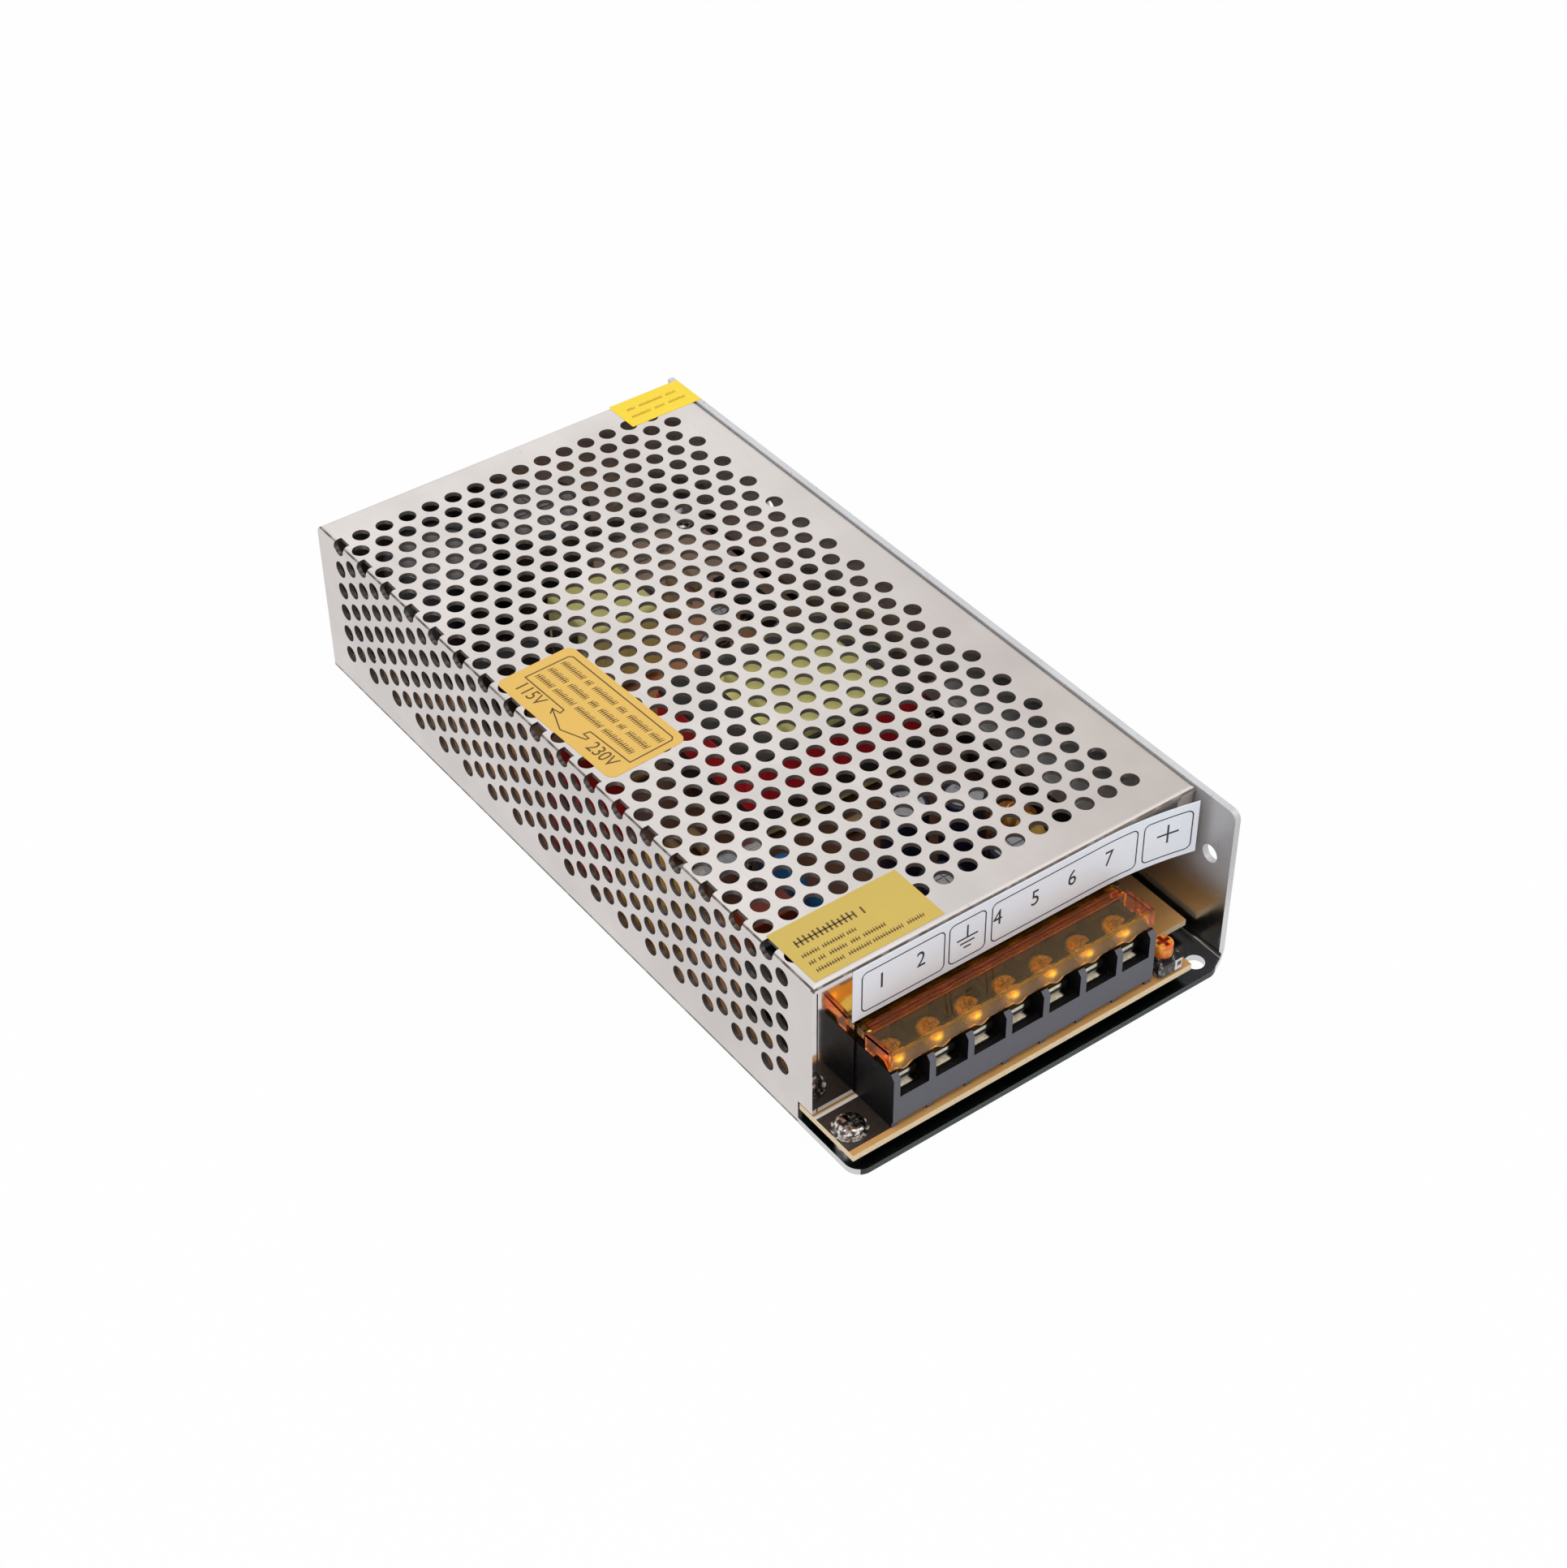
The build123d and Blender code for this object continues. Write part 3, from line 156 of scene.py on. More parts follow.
class Shader:
    """The node tree of one material, or of the world."""

    def __init__(self, owner: bpy.types.Material | bpy.types.World) -> None:
        """Empty the owner's tree."""
        owner.use_nodes = True
        self.tree = owner.node_tree
        self.tree.nodes.clear()
        self._place: Value | None = None

    def node(self, kind: str, settings: dict[str, Any], inputs: dict[int | str, Any],
             out: int | str = 0) -> Value:
        """Add a node.

        Args:
            kind: node type.
            settings: properties of the node, set first.
            inputs: number, colour or Value for each input socket.
            out: output socket that is returned.

        Returns:
            The wrapped output.
        """
        made = self.tree.nodes.new(kind)
        for key, setting in settings.items():
            setattr(made, key, setting)
        for key, given in inputs.items():
            if isinstance(given, Value):
                self.tree.links.new(given.socket, made.inputs[key])
            else:
                made.inputs[key].default_value = given
        return Value(self, made.outputs[out])

    def close(self, surface: Value, output: str = "ShaderNodeOutputMaterial") -> None:
        """Join the surface to the tree's output."""
        last = self.tree.nodes.new(output)
        self.tree.links.new(surface.socket, last.inputs["Surface"])

    def place(self) -> Value:
        """Object coordinates, in metres."""
        if self._place is None:
            self._place = self.node("ShaderNodeTexCoord", {}, {}, "Object")
        return self._place

    def axis(self, index: int) -> Value:
        """One object coordinate, in millimetres."""
        return self.node("ShaderNodeSeparateXYZ", {}, {0: self.place()}, index) * (1 / MM)

    def axes(self) -> tuple[Value, Value, Value]:
        """All three object coordinates, in millimetres."""
        return self.axis(0), self.axis(1), self.axis(2)

    def facing(self, index: int) -> Value:
        """One part of the surface normal."""
        normal = self.node("ShaderNodeNewGeometry", {}, {}, "Normal")
        return self.node("ShaderNodeSeparateXYZ", {}, {0: normal}, index)

    def noise(self, size: float, detail: float = 3.0, stretch: Point = (1.0, 1.0, 1.0),
              shift: float = 0.0) -> Value:
        """Soft noise from zero to one.

        Args:
            size: size of its spots in millimetres.
            detail: octaves of finer noise in it.
            stretch: how often it repeats along each axis, as a share of the plain rate.
            shift: moves it, so that two noises differ.

        Returns:
            The noise.
        """
        rate = 1.0 / (size * MM)
        away = (shift, shift * 0.7, shift * 1.3)
        inputs = {0: self.place(), 1: away, 3: tuple(rate * s for s in stretch)}
        place = self.node("ShaderNodeMapping", {}, inputs)
        inputs = {"Vector": place, "Scale": 1.0, "Detail": detail}
        return self.node("ShaderNodeTexNoise", {}, inputs)

    def blend(self, share: Number, first: "Colour | Value", second: "Colour | Value") -> Value:
        """Colour between two, by a share from zero to one."""
        pair = [c if isinstance(c, Value) else (*c, 1.0) for c in (first, second)]
        inputs = {0: share, 6: pair[0], 7: pair[1]}
        return self.node("ShaderNodeMix", {"data_type": "RGBA"}, inputs, 2)

    def relief(self, height: Number, depth: float) -> Value:
        """Bumped normal, for a height of one that stands depth millimetres proud."""
        inputs = {"Height": height, "Distance": depth * MM, "Strength": 1.0}
        return self.node("ShaderNodeBump", {}, inputs)

    def cross(self, centre: tuple[float, float], floor: float, half: float, reach: float) -> Value:
        """One on a driver cross about a centre, above a floor height."""
        x, y = self.axis(0).off(centre[0]), self.axis(1).off(centre[1])
        arms = ((x < half) * (y < reach)).most((y < half) * (x < reach))
        return arms * (self.axis(2) > floor)

    def seen(self) -> Value:
        """One for the camera's rays, also when they were mirrored or let through."""
        camera, glossy, clear = (self.node("ShaderNodeLightPath", {}, {}, f"Is {kind} Ray")
                                 for kind in ("Camera", "Glossy", "Transmission"))
        return camera.most(glossy).most(clear)

    def finish(self, colour: "Colour | Value", roughness: Number, metallic: Number = 0.0,
               normal: Value | None = None, **constants: Any) -> None:
        """Close the material with its principled surface.

        Args:
            colour: base colour.
            roughness: roughness.
            metallic: share of metal.
            normal: bumped normal, if there is one.
            **constants: further sockets, spaces in their names as underscores.
        """
        inputs: dict[int | str, Any] = {"Roughness": roughness, "Metallic": metallic}
        inputs["Base Color"] = colour if isinstance(colour, Value) else (*colour, 1.0)
        if normal is not None:
            inputs["Normal"] = normal
        for key, constant in constants.items():
            inputs[key.replace("_", " ")] = constant
        self.close(self.node("ShaderNodeBsdfPrincipled", {}, inputs))


# Finishes


@dataclass(frozen=True)
class Finish:
    """A named finish; each kind below lays out its own nodes."""

    name: str

    def lay(self, shader: Shader) -> None:
        """Lay out the nodes of the finish."""
        raise NotImplementedError

    def build(self) -> bpy.types.Material:
        """Make the material."""
        material = bpy.data.materials.new(self.name)
        self.lay(Shader(material))
        return material


@dataclass(frozen=True)
class SheetMetal(Finish):
    """Rolled sheet: fine grain along the length, soft smudges and a few small stains."""

    tint: Colour
    roughness: float = 0.3
    smudge: float = 0.1
    metal: float = 1.0

    def surface(self, shader: Shader) -> tuple[Value, Value, Value]:
        """Colour, roughness and height of the plain sheet."""
        fine = shader.noise(0.35, 2.0, (1.0, 0.03, 1.0))
        broad = shader.noise(22.0, 4.0, shift=3.0)
        patch = shader.noise(6.0, 5.0, shift=9.0)
        stain = shader.noise(1.3, 2.0, shift=5.0).rise(0.7, 0.8) * patch.rise(0.5, 0.62)
        light = shade(self.tint, 1.06)
        dark = shade(self.tint, 0.86)
        base = shader.blend(broad.rise(0.3, 0.72) * 0.6 + fine * 0.4, dark, light)
        base = shader.blend(stain * 0.4, base, paint(120, 98, 80))
        roughness = self.roughness + (broad - 0.5) * self.smudge + (patch - 0.5) * self.smudge
        return base, roughness, fine * 0.6 + patch * 0.4

    def lay(self, shader: Shader) -> None:
        """Lay out the nodes of the finish."""
        base, roughness, height = self.surface(shader)
        shader.finish(base, roughness, self.metal, shader.relief(height, 0.012))


@dataclass(frozen=True)
class CoverSheet(SheetMetal):
    """Punched sheet: painted shade along its folds, a painted contact shadow at the foot of its
    left wall and painted shade toward its right and front, dark walls in its holes, a mirror-like
    front.
    """

    left: float = -49.0
    front: float = COVER_FRONT
    back: float = 98.2
    top: float = COVER_TOP

    def lay(self, shader: Shader) -> None:
        """Lay out the nodes of the finish."""
        base, roughness, height = self.surface(shader)
        x, y, z = shader.axes()
        rub = shader.noise(2.4, 3.0, shift=6.0).rise(0.25, 0.6)
        # Painted shade along the front and left folds of the top, and a painted contact shadow
        # along the foot of the left wall, its strength varied by noise
        front_fold_shade = (y < self.front + 0.9) * z.between(self.top - 0.75, self.top - 0.35)
        side_fold_shade = x.between(self.left + 0.3, self.left + 0.65) * (z > self.top - 1.0)
        foot = (x < self.left + 0.1) * (z < 0.75)
        # crease holds the painted fold shade and the painted contact shadow
        crease = front_fold_shade.most(side_fold_shade).most(foot)
        base = shader.blend(crease * (0.45 + rub * 0.45), base, paint(70, 60, 54))
        across, up = shader.facing(0), shader.facing(2)
        punched = y.between(self.front + 3.0, self.back - 3.0)
        side_cut = (x < self.left + 0.97) * z.between(3.0, 37.5) * (across.off(0.0) < 0.5)
        top_cut = (z > self.top - 0.97) * (x > self.left + 0.3) * (up.off(0.0) < 0.4)
        fold_cut = (x < self.left + 2.6) * (z > 37.2) * (shader.facing(1).off(0.0) > 0.35)
        side_cut, top_cut, fold_cut = (punched * cut for cut in (side_cut, top_cut, fold_cut))
        cut = side_cut.most(top_cut).most(fold_cut)
        base = shader.blend(side_cut * 0.85, base, paint(56, 44, 36))
        base = shader.blend(fold_cut * 0.85, base, paint(52, 44, 40))
        base = shader.blend(top_cut * 0.8, base, paint(78, 68, 60))
        # Painted shade: the sheet darkens smoothly toward the right and the front, except on the
        # hole walls
        falloff_shade = (x * 0.7 - y * 0.35).rise(0.0, 80.0)
        base = shader.blend(falloff_shade * 0.42 * (1.0 - cut), base, paint(150, 136, 124))
        mirror = (shader.facing(1) < -0.9) * (y < self.front + 0.5)
        normal = shader.relief(height * (1.0 - mirror * 0.9), 0.012)
        shader.finish(base, roughness - mirror * 0.29, 1.0 - cut * 0.5, normal)


@dataclass(frozen=True)
class ChassisSheet(SheetMetal):
    """Plain bright sheet: hazy inside its upright wall, dull and dark along its sawn front edge,
    painted shade on the base top along the front.
    """

    wall: float = 46.5
    front: float = -98.9
    base_top: float = 1.6

    def lay(self, shader: Shader) -> None:
        """Lay out the nodes of the finish."""
        base, roughness, height = self.surface(shader)
        x, y, z = shader.axes()
        haze = (x > self.wall) * z.rise(12.0, 25.0)
        # Painted shade and painted reflection of the board's dark underside on the base top along
        # the front, under the board
        base_shade = (y < -84.0) * (z < self.base_top) * (shader.facing(2) > 0.5)
        edge = (shader.facing(1) < -0.6) * (z < self.base_top) * (y < self.front)
        dirt = shader.noise(2.0, 3.0, shift=8.0)
        grime = shader.blend(dirt, paint(24, 30, 31), paint(58, 68, 68))
        base = shader.blend(edge, base, grime)
        speck = shader.noise(0.7, 3.0, shift=12.0).rise(0.64, 0.74)
        base = shader.blend(speck * haze * 0.5, base, paint(110, 106, 104))
        # Painted shade on the base top
        base = shader.blend(base_shade * 0.85, base, paint(70, 73, 76))
        roughness = roughness + haze * 0.26 + edge * 0.2
        shader.finish(base, roughness, 1.0 - edge * 0.6 - haze * 0.55, shader.relief(height, 0.01))


@dataclass(frozen=True)
class Plated(Finish):
    """Bright plating on small metal parts, dulled unevenly and more so where it faces up."""

    tint: Colour
    roughness: float = 0.22
    metal: float = 1.0
    tarnish: float = 0.0

    def lay(self, shader: Shader) -> None:
        """Lay out the nodes of the finish."""
        cloud = shader.noise(1.2, 4.0)
        dull = shade(self.tint, 0.62)
        base = shader.blend(cloud.rise(0.35, 0.7), dull, self.tint)
        face = (shader.facing(2) > 0.8) * cloud.rise(0.3, 0.6)
        base = shader.blend(face * self.tarnish, base, shade(self.tint, 0.2))
        normal = shader.relief(shader.noise(0.25, 3.0, shift=2.0), 0.01)
        shader.finish(base, self.roughness + cloud * 0.14, self.metal, normal)


@dataclass(frozen=True)
class ScrewHead(Finish):
    """Bright screw head with painted shade in its driver cross and strongly mottled shine."""

    tint: Colour
    centre: tuple[float, float]
    floor: float

    def lay(self, shader: Shader) -> None:
        """Lay out the nodes of the finish."""
        arms = shader.cross(self.centre, self.floor, 0.5, 1.9)
        mottle = shader.noise(1.1, 4.0, shift=3.0).rise(0.42, 0.6)
        base = shader.blend(mottle, paint(84, 76, 72), self.tint)
        # Painted shade in the driver cross recess
        base = shader.blend(arms * 0.85, base, paint(36, 28, 24))
        normal = shader.relief(shader.noise(0.9, 3.0, shift=2.0), 0.08)
        shader.finish(base, 0.16 + arms * 0.3, 1.0, normal)


@dataclass(frozen=True)
class ClampMetal(Finish):
    """Tinned clamps: pale ribs with painted shade in the grooves left in each way, painted shade on
    plain dark metal at its right.
    """

    tint: Colour
    left: float
    pitch: float

    def lay(self, shader: Shader) -> None:
        """Lay out the nodes of the finish."""
        share = ((shader.axis(0) - self.left) * (1.0 / self.pitch)).fraction()
        # Painted shade: only the left of each way stays pale; the right is painted dark, as shaded
        # by the barrier beside it
        pale = share.rise(0.2, 0.26) * (1.0 - share.rise(0.56, 0.64))
        cloud = shader.noise(0.8, 4.0)
        rib = (shader.axis(2) * 0.55 + cloud * 0.12).fraction()
        # Painted shade in the grooves between the ribs
        groove_shade = rib.rise(0.42, 0.5) * (1.0 - rib.rise(0.94, 1.0))
        base = shader.blend(cloud.rise(0.35, 0.7), shade(self.tint, 0.75), self.tint)
        base = shader.blend(groove_shade, base, paint(14, 12, 10))
        base = shader.blend(pale, paint(30, 28, 26), base)
        shader.finish(base, 0.4 + cloud * 0.15, 1.0 - pale * 0.9, shader.relief(cloud, 0.02))


@dataclass(frozen=True)
class TrimmerCarrier(Finish):
    """Trimmer base: black body with grey patches, a white contact plate right on its front."""

    centre: tuple[float, float]
    window: tuple[float, float]

    def lay(self, shader: Shader) -> None:
        """Lay out the nodes of the finish."""
        x, z = shader.axis(0), shader.axis(2)
        patch = shader.noise(1.1, 3.0, shift=4.0)
        body = shader.blend(patch.rise(0.5, 0.62), paint(26, 24, 26), paint(138, 134, 138))
        plate = shader.blend(patch, paint(196, 196, 190), paint(232, 232, 228))
        hole = (x.off(self.window[0]) < 0.5) * (z.off(self.window[1]) < 0.6)
        front = (shader.facing(1) < -0.5) * (x > self.centre[0] + 0.9)
        base = shader.blend(front * (1.0 - hole), body, plate)
        shader.finish(base, 0.3 + patch * 0.2, 0.0, shader.relief(patch, 0.05))


@dataclass(frozen=True)
class RotorPlastic(Finish):
    """Glossy orange rotor, yellower in patches, with painted dark red shade in its driver cross."""

    centre: tuple[float, float]
    floor: float

    def lay(self, shader: Shader) -> None:
        """Lay out the nodes of the finish."""
        arms = shader.cross(self.centre, self.floor, 0.55, 1.6)
        patch = shader.noise(1.6, 3.0)
        base = shader.blend(patch.rise(0.35, 0.65), paint(228, 102, 24), paint(246, 170, 62))
        # Painted shade in the driver cross recess
        base = shader.blend(arms * 0.8, base, paint(150, 30, 12))
        shader.finish(base, 0.25 + patch * 0.1, 0.0, shader.relief(patch, 0.04))


@dataclass(frozen=True)
class BlockPlastic(Finish):
    """Terminal block: blue-grey front painted as the lit copy, cells and sides painted near-black
    as the shaded copy, with pale specks.
    """

    # Lit colour painted on the front
    front: Colour
    # Painted shade colour of the cells and sides
    inside: Colour

    def lay(self, shader: Shader) -> None:
        """Lay out the nodes of the finish."""
        cloud = shader.noise(3.0, 4.0)
        speck = shader.noise(0.5, 3.0, shift=7.0).rise(0.66, 0.74)
        # Lit and shaded copies of one plastic, chosen by facing: the front painted lit, the cells
        # and sides painted in shade
        face = shader.blend(cloud, shade(self.front, 0.85), self.front)
        dark = shader.blend(cloud, shade(self.inside, 0.6), self.inside)
        dark = shader.blend(speck * 0.35, dark, paint(120, 118, 116))
        base = shader.blend(shader.facing(1) < -0.7, dark, face)
        roughness = 0.46 + (cloud - 0.5) * 0.12 + speck * 0.1
        normal = shader.relief(cloud + speck * 0.4, 0.03)
        shader.finish(base, roughness, 0.0, normal, Specular_IOR_Level=SHEEN)


@dataclass(frozen=True)
class Moulded(Finish):
    """Moulded plastic: slight mottling, fine spark texture and scuffs."""

    tint: Colour
    roughness: float = 0.42
    mottle: float = 0.12
    texture: float = 0.02
    scuff: Colour = (0.4, 0.4, 0.4)
    scuffs: float = 0.1

    def lay(self, shader: Shader) -> None:
        """Lay out the nodes of the finish."""
        cloud = shader.noise(3.0, 4.0)
        spark = shader.noise(0.16, 2.0, shift=4.0)
        rub = shader.noise(0.9, 5.0, (1.0, 1.0, 0.3), 7.0).rise(0.62, 0.78)
        dark = shade(self.tint, 1.0 - self.mottle)
        light = shade(self.tint, 1.0 + self.mottle)
        base = shader.blend(cloud, dark, light)
        base = shader.blend(rub * self.scuffs, base, self.scuff)
        roughness = self.roughness + (cloud - 0.5) * 0.12 + rub * 0.1
        shader.finish(base, roughness, 0.0, shader.relief(spark + cloud * 2.0, self.texture))


@dataclass(frozen=True)
class ClearPlastic(Finish):
    """Tinted see-through plastic with slight flow waves, and a painted highlight in a spot over
    each way that glows by emission.
    """

    tint: Colour
    clear: float = 0.93
    roughness: float = 0.03
    spot: Colour | None = None
    spot_left: float = -36.2
    spot_pitch: float = 9.5
    spot_height: float = 22.6
    spot_light: float = 0.6
    index: float = 1.35

    def lay(self, shader: Shader) -> None:
        """Lay out the nodes of the finish."""
        flow = shader.noise(4.0, 2.0, (0.5, 1.0, 1.0))
        pale = shade(self.tint, 1.2, 0.01)
        base = shader.blend(flow, self.tint, pale)
        normal = shader.relief(flow + shader.noise(0.8, 2.0, shift=6.0) * 0.3, 0.03)
        lit: dict[str, Any] = {"Transmission_Weight": self.clear}
        # Painted highlight: the plastic glows in a spot over each way
        if self.spot is not None:
            ways = (shader.axis(0) - self.spot_left) * (1.0 / self.spot_pitch)
            away = (0.5 - ways.fraction().off(0.5)) * self.spot_pitch
            apart = shader.axis(2).off(self.spot_height)
            halo = (1.0 - away.rise(0.4, 4.6)) * (1.0 - apart.rise(0.4, 3.4))
            glow = (1.0 - away.rise(0.1, 1.7)) * (1.0 - apart.rise(0.1, 1.5))
            shine = shader.blend(glow * glow, shade(self.tint, 0.1), self.spot)
            lit["Emission_Color"] = shader.blend(halo, paint(0, 0, 0), shine)
            lit["Emission_Strength"] = self.spot_light
        roughness = self.roughness + flow * 0.04
        shader.finish(base, roughness, 0.0, normal, IOR=self.index, Specular_IOR_Level=SHEEN, **lit)


@dataclass(frozen=True)
class Laminate(Finish):
    """Circuit board: tan face, cream edge, dark green solder side, dark patch at the screw, painted
    light and shade on its face under the cover.
    """

    low: float
    patch: Point
    cover_front: float

    def lay(self, shader: Shader) -> None:
        """Lay out the nodes of the finish."""
        fibre = shader.noise(0.5, 3.0, (1.0, 0.15, 1.0))
        cross = shader.noise(0.5, 3.0, (0.15, 1.0, 1.0), 2.0)
        cloud = shader.noise(9.0, 4.0, shift=5.0)
        weave = cloud * 0.6 + fibre * 0.2 + cross * 0.2
        face = shader.blend(weave, paint(176, 122, 62), paint(222, 172, 108))
        edge = shader.blend(fibre, paint(214, 184, 138), paint(244, 224, 188))
        solder = shader.blend(cloud, paint(10, 34, 28), paint(22, 66, 50))
        mask = shader.blend(shader.noise(0.7, 3.0, shift=8.0), paint(20, 15, 12), paint(58, 44, 36))
        x, y, z = shader.axes()
        # Painted light and shade on the face under the cover: dark brown in shade, lighter along a
        # middle band, toward the back and by the left wall
        along = y.rise(-8.0, 12.0) * (1.0 - y.rise(52.0, 76.0))
        middle = along * (1.0 - x.off(14.0).rise(8.0, 26.0)) * (0.4 + cloud * 0.8)
        shade_under_cover = shader.blend(middle, paint(104, 70, 52), paint(246, 164, 96))
        shade_under_cover = shader.blend(y.rise(30.0, 80.0) * 0.9, shade_under_cover, paint(222, 192, 170))
        shade_under_cover = shader.blend(1.0 - x.rise(-36.0, -26.0), shade_under_cover, paint(206, 148, 92))
        face = shader.blend(y.rise(self.cover_front + 3.0, self.cover_front + 20.0), face, shade_under_cover)
        right, front, back = self.patch
        inside = (x < right) * y.between(front, back)
        rim = (x < right) * y.between(back, back + 0.8)
        face = shader.blend(rim, face, paint(222, 216, 208))
        up = shader.facing(2)
        colour = shader.blend(inside, face, mask)
        colour = shader.blend(up < 0.5, colour, edge)
        below = z < self.low + 0.05
        colour = shader.blend(below, colour, solder)
        roughness = 0.34 + cloud * 0.14 - below * 0.16
        shader.finish(colour, roughness, 0.0, shader.relief(fibre + cross, 0.015))


@dataclass(frozen=True)
class Tape(Finish):
    """Wound polyester tape: glossy, with overlapping turns and small wrinkles."""

    tint: Colour
    dark: Colour
    roughness: float = 0.28

    def lay(self, shader: Shader) -> None:
        """Lay out the nodes of the finish."""
        crease = shader.noise(3.5, 3.0, (1.0, 0.25, 1.0))
        cloud = shader.noise(7.0, 3.0, shift=3.0)
        lap = (shader.axis(0) * 0.11 + crease * 0.15).fraction().rise(0.0, 0.06)
        base = shader.blend(cloud * 0.6 + lap * 0.4, self.dark, self.tint)
        normal = shader.relief(crease * 1.5 + lap * 0.6, 0.15)
        shader.finish(base, self.roughness + cloud * 0.12, 0.0, normal)


@dataclass(frozen=True)
class Paper(Finish):
    """Printed sticker stock: faint fibres, slight sheen and a little uneven ink."""

    tint: Colour
    roughness: float = 0.45
    mottle: float = 0.05

    def lay(self, shader: Shader) -> None:
        """Lay out the nodes of the finish."""
        fibre = shader.noise(0.3, 4.0)
        cloud = shader.noise(8.0, 3.0, shift=2.0)
        dark = shade(self.tint, 1.0 - 1.6 * self.mottle)
        light = shade(self.tint, 1.0 + self.mottle)
        base = shader.blend(cloud * 0.6 + fibre * 0.4, dark, light)
        normal = shader.relief(fibre + cloud * 2.0, 0.02)
        shader.finish(base, self.roughness + fibre * 0.15, 0.0, normal)


@dataclass(frozen=True)
class Sleeved(Finish):
    """Capacitor cans: shrunk sleeve below, bare aluminium in the sunk top."""

    sleeve: Colour
    top: float
    metal: tuple[Colour, Colour]
    roughness: float = 0.3

    def lay(self, shader: Shader) -> None:
        """Lay out the nodes of the finish."""
        cloud = shader.noise(2.5, 4.0)
        scratch = shader.noise(0.4, 2.0, (1.0, 0.2, 1.0), 4.0)
        sleeve = shader.blend(cloud, shade(self.sleeve, 0.8), self.sleeve)
        metal = shader.blend(scratch, self.metal[0], self.metal[1])
        up = shader.facing(2)
        bare = (up > 0.9) * (shader.axis(2) < self.top - 0.1)
        colour = shader.blend(bare, sleeve, metal)
        normal = shader.relief(cloud + scratch, 0.02)
        shader.finish(colour, self.roughness + cloud * 0.1, bare * 0.6, normal)


@dataclass(frozen=True)
class Tubed(Finish):
    """Fuse: clear-looking tube between two bright end caps."""

    left: float
    right: float

    def lay(self, shader: Shader) -> None:
        """Lay out the nodes of the finish."""
        x = shader.axis(0)
        cap = (x < self.left).most(x > self.right)
        cloud = shader.noise(1.5, 3.0)
        glass = shader.blend(cloud, paint(150, 158, 160), paint(205, 212, 214))
        metal = shader.blend(cloud, paint(150, 148, 142), paint(222, 220, 214))
        base = shader.blend(cap, glass, metal)
        shader.finish(base, 0.12 + cloud * 0.12, cap * 0.95, shader.relief(cloud, 0.02))


# Meshes worked out as arrays


def linked(name: str, data: Any) -> bpy.types.Object:
    """New object in the scene, with its data."""
    made = bpy.data.objects.new(name, data)
    bpy.context.scene.collection.objects.link(made)
    return made


@dataclass
class Shape:
    """Points and faces of closed forms, as arrays."""

    points: np.ndarray
    faces: list[list[int]]

    def __add__(self, other: "Shape") -> "Shape":
        """Both forms in one."""
        shift = len(self.points)
        moved = [[i + shift for i in face] for face in other.faces]
        return Shape(np.vstack([self.points, other.points]), self.faces + moved)

    def moved(self, place: Place) -> "Shape":
        """The form after a change of place, which takes and gives an array of points."""
        return Shape(place(self.points), self.faces)

    def piece(self, name: str, material: bpy.types.Material,
              smooth: float = 35.0) -> bpy.types.Object:
        """Make the object.

        Args:
            name: its name.
            material: its finish.
            smooth: largest angle between faces that are shaded as one, in degrees.

        Returns:
            The object, at the origin.
        """
        mesh = bpy.data.meshes.new(name)
        mesh.from_pydata((self.points * MM).tolist(), [], self.faces)
        work = bmesh.new()
        work.from_mesh(mesh)
        bmesh.ops.recalc_face_normals(work, faces=work.faces)
        work.to_mesh(mesh)
        work.free()
        mesh.polygons.foreach_set("use_smooth", [True] * len(mesh.polygons))
        mesh.set_sharp_from_angle(angle=math.radians(smooth))
        mesh.materials.append(material)
        return linked(name, mesh)


def merged(shapes: Iterable[Shape]) -> Shape:
    """All the forms in one."""
    return reduce(add, shapes)


def skin(rings: np.ndarray, ring_of_rings: bool = False) -> Shape:
    """Surface through rings of points.

    Ring k and ring k + 1 are joined point by point, each ring closing on itself. The first and
    last ring get a lid, or are joined to each other.

    Args:
        rings: array of (rings, points a ring, 3).
        ring_of_rings: join the last ring to the first.

    Returns:
        The closed form.
    """
    count, around = rings.shape[:2]
    ks = np.arange(count if ring_of_rings else count - 1)
    k, i = np.meshgrid(ks, np.arange(around), indexing="ij")
    here, there = k * around, (k + 1) % count * around
    beside = (i + 1) % around
    quads = np.stack([here + i, here + beside, there + beside, there + i], -1)
    faces = quads.reshape(-1, 4).tolist()
    if not ring_of_rings:
        faces.append(list(range(around))[::-1])
        faces.append(list(range((count - 1) * around, count * around)))
    return Shape(rings.reshape(-1, 3), faces)


def ribbon(path: np.ndarray, width: float, thick: float, closed: bool = False) -> Shape:
    """Flat band of even width along a path in the (u, v) plane, standing thick above it.

    Each corner point moves along the mitre, the sum of its two side normals scaled by one over
    one plus their product, by half the width either way.

    Args:
        path: array of (points, 2).
        width: band width.
        thick: its thickness.
        closed: the path closes on itself.

    Returns:
        The closed form.
    """
    step = np.roll(path, -1, 0) - path
    step /= np.linalg.norm(step, axis=1, keepdims=True) + 1e-12
    if not closed:
        step[-1] = step[-2]
    before = np.roll(step, 1, 0)
    if not closed:
        before[0] = step[0]
    side_a = np.stack([-before[:, 1], before[:, 0]], -1)
    side_b = np.stack([-step[:, 1], step[:, 0]], -1)
    share = np.maximum(0.3, 1.0 + (side_a * side_b).sum(1, keepdims=True))
    mitre = (side_a + side_b) / share * width / 2
    left, right = path + mitre, path - mitre
    low, high = np.zeros((len(path), 1)), np.full((len(path), 1), thick)
    corners = [np.hstack(pair) for pair in ((left, low), (right, low), (right, high), (left, high))]
    return skin(np.stack(corners, 1), closed)


